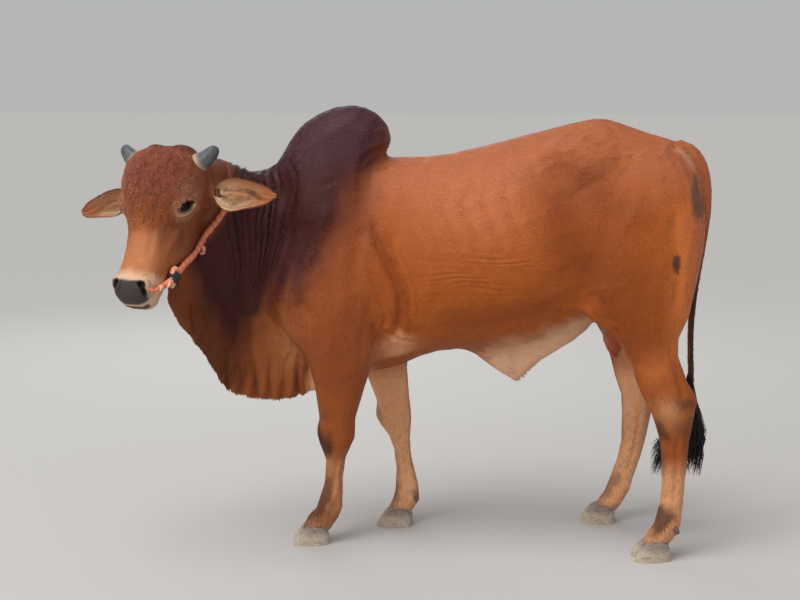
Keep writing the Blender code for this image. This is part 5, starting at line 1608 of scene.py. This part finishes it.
def halter_path(tree, side):
    """The rope's middle line, kept clear of the skin, evenly spaced to the nostril."""
    path = from_head(smooth_rows([mirrored(row, side) for row in HALTER], 40))
    for _ in range(4):
        laid = []
        for point in path:
            spot, normal = nearest(tree, point)
            clear = (point - spot) @ normal
            laid.append(point + normal * max(ROPE_RADIUS + ROPE_CLEAR - clear, 0.0))
        path = np.array(laid)
        path[1:-1] = (path[:-2] + 2 * path[1:-1] + path[2:]) / 4
    for number, point in enumerate(path):
        spot, normal = nearest(tree, point)
        pressed = soft(to_head(point[None, :])[0, 0], 0.115, 0.075)
        path[number] = point - normal * ((point - spot) @ normal + NAPE_SINK) * pressed
    nostril, _, _, through = nostril_frame(side)
    if side < 0:
        path = path[to_head(path)[:, 0] < 0.446]
    rim = path[-1] + (nostril - path[-1]) * 0.50
    path = np.concatenate([path, [rim - through * 0.001, rim - through * 0.016]])
    travel = travel_along(path)
    even = np.linspace(0, travel[-1], int(travel[-1] / ROPE_STEP))
    return np.stack([np.interp(even, travel, path[:, axis]) for axis in range(3)], axis=1)


def spot_on(path, below, down, reach):
    """A path's place at a distance down the face, and the path's direction there."""
    at = int(np.argmin(np.abs(below - down)))
    return path[at], unit(path[at + reach] - path[at - reach])


def rope(path, radius):
    """Twisted strands round a path, with one radius or one at each point."""
    side, up = frames_along(path, (0.3, 0.2, 1.0))
    radius = np.broadcast_to(radius, len(path))
    parts = []
    for start in turns(ROPE_STRANDS):
        turn = (travel_along(path) * 2 * math.pi / STRAND_TURN + start)[:, None]
        middle = path + (radius * 0.56)[:, None] * (side * np.cos(turn) + up * np.sin(turn))
        parts.append(tube(middle, radius * 0.52))
    return parts


def fibres(path, radius, count, seed):
    """Loose ends of fibre that stand off a rope."""
    draw = np.random.default_rng(seed)
    parts = []
    for _ in range(count):
        at = draw.integers(2, len(path) - 6)
        along = unit(path[at + 1] - path[at])
        away = unit(np.cross(along, draw.normal(size=3)))
        length = draw.uniform(0.003, 0.0075)
        root = path[at] + away * radius * 0.8
        end = root + (away * draw.uniform(0.5, 1.0) + along * draw.uniform(-1, 1)) * length
        parts.append(tube([root, (root + end) / 2 + away * 0.0006, end],
                          np.array((0.0007, 0.00055, 0.0001)), ring=4, hint=along + 0.01))
    return parts


def knot(middle, along, radius, seed):
    """A few tight turns of rope round a path."""
    draw = np.random.default_rng(seed)
    parts = []
    turn = turns(KNOT_STEPS)[:, None]
    for number in range(KNOT_TURNS):
        axis = unit(along + draw.normal(size=3) * 0.55)
        u = unit(np.cross(axis, (0.2, 0.9, 0.4)))
        wobble = 1 + 0.10 * np.sin(turn * 3 + number)
        loop = (middle + along * (number - 1.5) * 0.0042
                + (u * np.cos(turn) + np.cross(axis, u) * np.sin(turn)) * radius * wobble)
        parts.append(tube(np.concatenate([loop, loop[:1]]), 0.0040, hint=axis))
    return parts


def colours_of(parts, shades, spread, seed):
    """A tint for each part's points, drawn from a few shades."""
    draw = np.random.default_rng(seed)
    tints = []
    for part in parts:
        shade = linear(shades[draw.integers(len(shades))])
        tints.append(np.tile(shade, (len(part[0]), 1)) * draw.uniform(1 - spread, 1 + spread))
    return np.concatenate(tints)


def left_loop(path, below):
    """The frayed loop of rope on the left, and the knots beside the strip."""
    start, _ = spot_on(path, below, LOOP_AT, 3)
    loop = smooth_rows(start + np.array(LOOP) @ AXES, 24)
    parts = rope(loop, 0.0048) + fibres(loop, 0.004, 60, 95)
    middle, along = spot_on(path, below, STRIP_AT, 3)
    out = unit(np.cross(along, AXES[0]))
    for number, (ahead, aside) in enumerate(STRIP_KNOTS):
        spot = middle + along * ahead + np.cross(out, along) * aside + out * 0.004
        parts += knot(spot, along, 0.0060, 92 + number)
    return parts


def strip(path, below):
    """A strip of dark rubber wound round the rope, its ends hanging."""
    middle, along = spot_on(path, below, STRIP_AT, 3)
    u = unit(np.cross(along, AXES[2]))
    turn = np.linspace(0, 2 * math.pi * STRIP_TURNS, STRIP_STEPS)[:, None]
    coil = (middle + along * np.linspace(-0.015, 0.015, STRIP_STEPS)[:, None]
            + (u * np.cos(turn) + np.cross(along, u) * np.sin(turn))
            * (ROPE_RADIUS + 0.0042 + 0.0012 * np.sin(turn * 3)))
    parts = [tube(coil, 0.0052, hint=along, flat=1.5)]
    for number, lean in enumerate(STRIP_LEANS):
        root = coil[-1 - 14 * number]
        fall = unit(np.array((0, 0, -1.0)) + AXES[1] * lean * 0.6 + u * 0.2)
        end = [root, root + fall * 0.014 + AXES[1] * 0.004, root + fall * (0.026 + 0.007 * number)]
        parts.append(tube(smooth_rows(end, len(STRIP_WIDTHS)), np.array(STRIP_WIDTHS) * 0.0046,
                          flat=0.45))
    finished("halter_wrap", new_mesh("halter_wrap", *parts), colours_of(parts, STRIP_COLOURS, 0.1, 98),
             "strip", "strip", "halter_strip")


def halter(tree):
    """Both sides of the rope, with knots, a frayed loop, and a dark strip on the left."""
    for side, word in SIDES:
        path = halter_path(tree, side)
        below = to_head(path)[:, 0]
        steps = np.arange(len(path))
        wobble = 1 + 0.07 * np.sin(steps * 0.55) + 0.05 * np.sin(steps * 0.23)
        parts = rope(path, ROPE_RADIUS * (1 - 0.45 * soft(below, 0.436, 0.456)) * wobble)
        for number, (down, wide) in enumerate(KNOTS):
            middle, along = spot_on(path, below, down, 2)
            parts += knot(middle + AXES[1] * side * wide * 0.45, along, wide * 0.62, 90 + number)
        if side > 0:
            parts += left_loop(path, below)
        parts += fibres(path, ROPE_RADIUS, 620, 96)
        grime = soft(to_head(np.concatenate([part[0] for part in parts]))[:, 0], 0.120, 0.080)
        shades = blend(colours_of(parts, ROPE_COLOURS, 0.12, 97), ROPE_GRIME, grime * 0.8)
        name = "halter_rope_" + word
        finished(name, new_mesh(name, *parts), shades, "rope", "rope", "halter_" + word)
        if side > 0:
            strip(path, below)


# Pieces of head, feet and tail


def open_sockets(mesh):
    """Removes the skin that the lids' rings stand in for."""
    shell = bmesh.new()
    shell.from_mesh(mesh)
    points = np.array([vert.co for vert in shell.verts]) - SHIFT
    doomed = np.zeros(len(points), bool)
    for side, _ in SIDES:
        centre, look, slit, across = eye_frame(side)
        oval = in_oval(points, centre, (slit, across), (LID_LENGTH * 1.72, LID_UPPER * 1.95), 0.06)
        doomed |= oval & ((points - centre) @ look > -0.005)
    shell.verts.ensure_lookup_table()
    bmesh.ops.delete(shell, geom=[shell.verts[i] for i in np.flatnonzero(doomed)],
                     context="VERTS")
    shell.to_mesh(mesh)
    shell.free()


def piece(name, made, look, *replaced):
    """A finished piece from its points, faces and colours."""
    points, faces, colours = made
    finished(name, new_mesh(name, (points, faces)), colours, look, look, *replaced)


def head_pieces(tree):
    """Eyes, lids, lashes, ears and horns."""
    for side, word in SIDES:
        piece("eyeball_" + word, eyeball(side), "eye", "eye_" + word)
        piece("lids_" + word, lids(side, tree), "hide")
        parts = lashes(side)
        finished("lashes_" + word, new_mesh("lashes_" + word, *parts),
                 colours_of(parts, LASH_COLOURS, 0.1, 62), "switch_hair", "switch_hair")
        piece("ear_cup_" + word, ear(side), "ear", "ear_" + word)
        piece("horn_stub_" + word, horn(side), "horn", "horn_" + word)


def feet():
    """All claws and dewclaws."""
    for foot in FEET:
        for inner in (1, -1):
            word = "inner" if (inner > 0) != foot.endswith("right") else "outer"
            piece(f"hoof_{foot}_{word}", claw(foot, inner), "hoof", f"claw_{foot}_{word}")
            piece(f"dew_{foot}_{word}", dewclaw(foot, inner), "hoof", f"dewclaw_{foot}_{word}")


def bake_map(mesh, spots):
    """Adds the map that the hair is baked with, from a flat place for each point."""
    corners = numbers(mesh.loops, "vertex_index", 1, np.int32).ravel()
    layer = mesh.uv_layers.new(name="OFBake")
    layer.data.foreach_set("uv", spots[corners].astype(np.float32).ravel())


def tail_tuft():
    """The hair at the tail's end, its map holding a small patch for each strand at its root's place."""
    parts, tints = switch_strands()
    mesh = new_mesh("tail_tuft", *parts)
    roots = np.array([points[:STRAND_RING].mean(axis=0) for points, _ in parts])
    rows, ring = (np.linspace(-0.5, 0.5, count) for count in (STRAND_ROWS, STRAND_RING))
    spread = np.stack([np.repeat(rows, STRAND_RING), np.tile(ring, STRAND_ROWS)], axis=1)
    bake_map(mesh, (unwrap(roots)[:, None] + spread[None] * TUFT_PATCH).reshape(-1, 2))
    finished("tail_tuft", mesh, tints, "switch_hair", "switch_hair", "tail_switch")


# Coat

TUFT_TARGET = 151000
TUFTS_PER_PIECE = 30500
TUFT_PATCH = 0.003
TUFT_FACES = np.array(((0, 2, 1), (1, 2, 4), (0, 1, 3), (0, 3, 2), (3, 1, 4), (2, 3, 4)))
TUFT_SPREAD = np.array(((0.0, 0.5), (0.5, 0.0), (0.5, 1.0), (0.5, 0.5), (1.0, 0.5)))
# How bright a tuft is from its root to its tip: on the body, in the forehead's curls, on the ear's inside
# and on its outside and rim. The darker roots are painted shade and the lighter tips painted highlight,
# most of all in the curls
TUFT_SHADES = np.array((0.96, 0.99, 0.99, 1.01, 1.03))
CURL_SHADES = np.array((0.35, 0.80, 0.80, 1.15, 1.70))
EAR_IN_SHADES = np.array((0.94, 0.99, 0.99, 1.01, 1.03))
EAR_OUT_SHADES = np.array((0.80, 0.97, 0.97, 1.03, 1.12))
WHORL = (0.118, 0.000)
NOSTRIL_BARE = (0.02185, 0.01265)
# Hair of the ear's back, cup, rim and hollow: how many, how long, how wide, how far it rises
EAR_HAIRS = ((2600, 0.0070, 0.0016, 0.0006), (2600, 0.0085, 0.0015, 0.0010),
             (1500, 0.0095, 0.0012, 0.0012), (520, 0.0240, 0.0013, 0.0060))
# Which way the hair lies on the body: a direction, its share, then the steps that bound it
LIE_BODY = (0.90, 0.0, -0.42)
LIE_LAYERS = (
    ((1.0, 0.0, 0.0), 1.0, ("z", 1.20, 1.36)),
    ((0.25, 0.0, -1.0), 1.0, ("x", 0.62, 0.80), ("z", 1.30, 1.12)),
    ((0.25, 0.0, -1.0), 1.0, ("x", 0.02, -0.12), ("z", 1.10, 0.95)),
    ((0.65, 0.15, -0.75), 1.0, ("x", -0.36, -0.44)),
    ((0.35, 0.0, -1.0), 1.0, ("x", -0.30, -0.40), ("z", 0.80, 0.68)),
    ((1.0, 0.0, 0.0), 1.0, ("z", 0.78, 0.72), ("belly", 0.3, 0.25)),
    ((0.06, 0.0, -1.0), 1.0, ("z", 0.62, 0.52)),
    ((0.0, 0.0, -1.0), 1.0, ("x", 0.985, 1.0), ("side", 0.05, 0.04)),
)


def turned(direction, normal, angle):
    """Directions turned about the skin's normal."""
    aside = np.cross(normal, direction)
    return direction * np.cos(angle)[:, None] + aside * np.sin(angle)[:, None]


def flattened(direction, normals):
    """Directions laid flat on the skin."""
    return unit(direction - normals * np.sum(direction * normals, axis=1)[:, None])


def coat_lie(points, normals):
    """Which way the hair lies at each place, and how curled it is."""
    x, y, z = points.T
    values = {"x": x, "z": z, "side": np.abs(y), "belly": np.abs(x - 0.3)}
    body = layered(np.tile(LIE_BODY, (len(points), 1)), values, LIE_LAYERS)
    down, left, out = to_head(points).T
    share = soft(near_head(points), -0.015, 0.03)
    cheek = soft(np.abs(left), 0.075, 0.12) * soft(down, 0.33, 0.24)
    face = blend(np.tile(AXES[0], (len(points), 1)), AXES[0] * 0.55 - AXES[2] * 0.85, cheek)
    spoke = np.stack([down - WHORL[0], left - WHORL[1]], axis=1)
    far = np.linalg.norm(spoke, axis=1)
    spoke = unit(spoke)
    swirl = np.stack([-spoke[:, 1], spoke[:, 0]], axis=1)
    way = spoke * 0.75 + swirl * soft(far, 0.12, 0.02)[:, None] * 0.9
    forehead = soft(out, -0.09, -0.04)
    face = blend(face, way @ AXES[:2], soft(far, 0.20, 0.11) * forehead)
    face = blend(face, -AXES[2] * 0.8 - AXES[0] * 0.3, soft(down, 0.015, -0.01))
    lie = flattened(blend(body, face, share), normals)
    curl = soft(far, 0.180, 0.115) * forehead * share
    sway = 0.22 * waves(points, 0.09, 101) + 0.14 * waves(points, 0.03, 102)
    sway = sway + curl * (1.9 * waves(points, 0.024, 103) + 0.8 * waves(points, 0.010, 104))
    return turned(lie, normals, sway), curl


def coat_size(points, curl):
    """Length, width and rise of the hair, and how thickly tufts are set, at each place."""
    x, _, z = points.T
    head = soft(near_head(points), -0.02, 0.03)
    down, left, out = to_head(points).T
    leg = soft(z, 0.62, 0.45)
    fetlock = hump(z, 0.10, 0.03) * (1 - head)
    sheath = soft(z, 0.70, 0.62) * soft(z, 0.50, 0.56) * soft(x, 0.2, 0.3)
    length = 0.0160 - 0.0055 * leg - 0.0080 * head + 0.0080 * curl + 0.006 * (sheath + fetlock)
    length = length * (1 - 0.45 * soft(down, 0.37, 0.44) * head)
    wide = 0.0035 - 0.0010 * leg - 0.0018 * head + 0.0014 * curl
    rise = 0.0004 + 0.0001 * leg - 0.0001 * head + 0.0034 * curl + 0.0014 * fetlock
    thick = 1.0 + 1.2 * leg + 5.4 * head + 2.3 * curl
    thick = thick * (1 - 0.5 * soft(x, 0.25, 0.35) * soft(z, 0.74, 0.70) * soft(z, 0.5, 0.6))
    bare = soft(down, 0.432, 0.447) * soft(out, -0.052, -0.040) * soft(np.abs(left), 0.074, 0.062)
    thick = thick * (1 - head * bare)
    for side, _ in SIDES:
        eye, _, slit, across = eye_frame(side)
        nostril, slant, over, _ = nostril_frame(side)
        thick = thick * ~in_oval(points, eye, (slit, across), (LID_LENGTH * 1.5, LID_UPPER * 1.6), 0.05)
        thick = thick * ~in_oval(points, nostril, (slant, over), NOSTRIL_BARE, 0.04)
    return length, wide, rise, thick


def turn_share(across, along):
    """How far round a turn each place lies, from 0 to 1."""
    return np.arctan2(across, along) / (2 * math.pi) + 0.5


def unwrap(points):
    """A flat place from 0 to 1 for each place on the skin, by body region."""
    x, y, z = points.T
    head = near_head(points) > 0
    tail = ~head & (x > 0.985) & (np.abs(y) < 0.045) & (z < 1.25)
    low = ~head & ~tail & (z < 0.60) & ((x > 0.62) | ((x < 0.12) & (np.abs(y) > 0.05)))
    middle_y = np.interp(x, (-0.66, -0.53, -0.40, -0.2), (-0.22, -0.085, -0.01, 0.0))
    flat = np.empty((len(points), 2))
    flat[:, 0] = 0.01 + 0.60 * np.clip((x + 0.72) / 1.80, 0, 1)
    flat[:, 1] = 0.01 + 0.60 * turn_share(y - middle_y, z - 0.98)
    down, left, out = to_head(points).T
    flat[head, 0] = 0.63 + 0.36 * np.clip((down[head] + 0.06) / 0.60, 0, 1)
    flat[head, 1] = 0.01 + 0.60 * turn_share(left, out + 0.09)[head]
    for number, ((front, side), rows) in enumerate(LEG_MIDDLES.items()):
        heights, middle_x, middle_y = np.array(rows).T
        mine = low & ((x < 0.4) == (front > 0)) & ((y < 0) == (side < 0))
        turn = turn_share(y - np.interp(z, heights, middle_y), x - np.interp(z, heights, middle_x))
        flat[mine, 0] = 0.01 + 0.20 * number + 0.18 * turn[mine]
        flat[mine, 1] = 0.63 + 0.35 * np.clip(z[mine] / 0.62, 0, 1)
    turn = turn_share(y, x - np.interp(z, (0.55, 0.9, 1.2), (1.004, 1.010, 1.030)))
    flat[tail, 0] = 0.83 + 0.15 * turn[tail]
    flat[tail, 1] = 0.63 + 0.35 * np.clip((z[tail] - 0.5) / 0.8, 0, 1)
    return flat


def scatter(points, corners, weights, count, draw):
    """Random places over triangles, as many as count, by their area and weight."""
    a, b, c = (points[corners[:, number]] for number in range(3))
    total = np.cumsum(np.linalg.norm(np.cross(b - a, c - a), axis=1) / 2 * weights)
    pick = np.searchsorted(total, (np.arange(count) + draw.uniform(size=count)) / count * total[-1])
    pick = np.clip(pick, 0, len(corners) - 1)
    u, v = draw.uniform(size=count), draw.uniform(size=count)
    over = u + v > 1
    u[over], v[over] = 1 - u[over], 1 - v[over]
    spots = a[pick] + u[:, None] * (b - a)[pick] + v[:, None] * (c - a)[pick]
    return spots, pick, u, v


def tuft_points(roots, normals, lie, length, wide, rise, bend):
    """Five points for each tuft: a buried root, a raised middle and a tip."""
    aside = np.cross(normals, lie)
    reach, up, swing = length[:, None], rise[:, None], bend[:, None]
    sunk = roots - normals * 0.0006 - lie * reach * 0.08
    middle = roots + lie * reach * 0.42 + aside * swing * 0.35
    half = aside * wide[:, None] / 2
    left = middle + half + normals * up * 0.35
    right = middle - half + normals * up * 0.35
    ridge = middle + normals * (up * 0.80 + wide[:, None] * 0.06)
    tip = roots + lie * reach + aside * swing + normals * up
    return np.stack([sunk, left, right, ridge, tip], axis=1)


def tuft_mesh(name, tufts, flat):
    """One mesh of tufts, its map holding a small patch for each at its root's place."""
    faces = np.arange(len(tufts))[:, None, None] * len(TUFT_SPREAD) + TUFT_FACES[None]
    mesh = new_mesh(name, (tufts.reshape(-1, 3), faces.reshape(-1, 3)))
    bake_map(mesh, (flat[:, None] + (TUFT_SPREAD[None] - 0.5) * TUFT_PATCH).reshape(-1, 2))
    mesh.shade_flat()
    return mesh


def grow_coat(mesh, tints):
    """The short coat over the whole skin, in pieces."""
    points, corners, normals = places(mesh), triangles(mesh), skin_normals(mesh)
    middles = points[corners].mean(axis=1)
    _, curl = coat_lie(middles, unit(normals[corners].mean(axis=1)))
    weights = coat_size(middles, curl)[3]
    draw = np.random.default_rng(201)
    roots, pick, u, v = scatter(points, corners, weights, TUFT_TARGET, draw)
    mix = np.stack([1 - u - v, u, v], axis=1)
    up = unit(np.einsum("nk,nkd->nd", mix, normals[corners[pick]]))
    shade = np.einsum("nk,nkd->nd", mix, tints[corners[pick]])
    lie, curl = coat_lie(roots, up)
    length, wide, rise, _ = coat_size(roots, curl)
    count = len(roots)
    length = length * draw.uniform(0.7, 1.25, count)
    wide = wide * draw.uniform(0.7, 1.3, count)
    rise = rise * draw.uniform(0.5, 1.3, count)
    lie = turned(lie, up, draw.normal(size=count) * 0.16)
    bend = length * draw.normal(size=count) * (0.08 + 0.22 * curl)
    tufts = tuft_points(roots, up, lie, length, wide, rise, bend)
    shade = shade * draw.normal(1.0, 0.085 + 0.06 * curl, count).clip(0.7, 1.35)[:, None]
    # Darker roots and lighter tips: painted shade and painted highlight
    steps = TUFT_SHADES + curl[:, None] * (CURL_SHADES - TUFT_SHADES)
    colours = np.clip(shade[:, None] * steps[..., None], 0, 1)
    flat = unwrap(roots)
    order = np.argsort(flat[:, 0] + (flat[:, 1] > 0.62), kind="stable")
    pieces = int(math.ceil(count / TUFTS_PER_PIECE))
    for number, chosen in enumerate(np.array_split(order, pieces), start=1):
        name = f"coat_{number}"
        finished(name, tuft_mesh(name, tufts[chosen], flat[chosen]),
                 colours[chosen].reshape(-1, 3), "coat", "hide")


def ear_hair(side, word):
    """Short hair on both faces of the ear, a fringe round its rim and long pale inner hair."""
    draw = np.random.default_rng(211 if side > 0 else 212)
    face = ear_frame(side)[4]
    tufts, tints, flat = [], [], []
    for kind, (count, length, wide, rise) in enumerate(EAR_HAIRS):
        inside = kind in (1, 3)
        share = draw.uniform(0.06, 0.995, count)
        column = draw.uniform(-0.98, 0.98, count)
        if kind == 2:
            column = np.sign(column)
        if kind == 3:
            share = 0.06 + 0.50 * draw.uniform(0, 1, count) ** 1.3
            column = side * (0.75 - 0.9 * draw.uniform(0, 1, count) ** 1.5)
        lift = np.full(count, EAR_THICK * 0.75 * inside)
        roots = ear_sheet(side, share, column, lift)
        on = unit(ear_sheet(side, share + 0.01, column, lift) - roots)
        aside = ear_sheet(side, share, column + 0.01, lift) - roots
        up = unit(np.cross(on, aside))
        up = up * np.sign(up @ face)[:, None] * (-1 if kind == 0 else 1)
        aside = unit(aside) * np.sign(column)[:, None]
        lie = flattened((on, on + aside * 0.25, on * 0.8 + aside, on + aside * 0.3)[kind], up)
        lie = turned(lie, up, draw.normal(size=count) * 0.12)
        lengths = length * draw.uniform(0.6, 1.3, count)
        tufts.append(tuft_points(roots, up, lie, lengths, wide * draw.uniform(0.7, 1.3, count),
                                 rise * draw.uniform(0.4, 1.4, count),
                                 lengths * draw.normal(size=count) * 0.12))
        shade = ear_tint(side, share, column, roots, inside)
        if kind == 3:
            shade = blend(shade, CREAM, np.full(count, 0.7))
        shade = shade * draw.uniform(0.93, 1.07, (count, 1))
        # Darker roots and lighter tips: painted shade and painted highlight
        steps = EAR_IN_SHADES if inside else EAR_OUT_SHADES
        tints.append(np.clip(shade[:, None] * steps[None, :, None], 0, 1).reshape(-1, 3))
        flat.append(np.stack([0.02 + 0.47 * share + 0.49 * inside, 0.02 + 0.48 * (column + 1)], axis=1))
    name = "coat_ear_" + word
    finished(name, tuft_mesh(name, np.concatenate(tufts), np.concatenate(flat)),
             np.concatenate(tints), "coat", "ear")


# The whole animal

stage()
skin, masks = build_skin()
skin_tree = tree_of(skin.data)
skin_points = places(skin.data)
tints = mottled(hide_colour(skin_points), skin_points, 0.035, 51)
# Painted shade in the fold valleys
tints = blend(tints, FOLD_VALLEY_SHADE, np.clip(masks["valley"] * 1.3, 0, 0.85))
# Painted shade in the crease between the lips
tints = blend(tints, MOUTH_CREASE_SHADE, masks["mouth"] * 0.8)
# Painted shade inside the nostrils
tints = blend(tints, NOSTRIL_SHADE, masks["nose"] * 0.97)
skin.data.materials.clear()
skin.data.materials.append(LOOKS["hide"])
paint(skin.data, tints)
grow_coat(skin.data, tints)
open_sockets(skin.data)
skin.data.shade_smooth()
skin.name = "skin"
dress(skin, "hide", *FLESH)
head_pieces(skin_tree)
for side, word in SIDES:
    ear_hair(side, word)
feet()
tail_tuft()
halter(skin_tree)
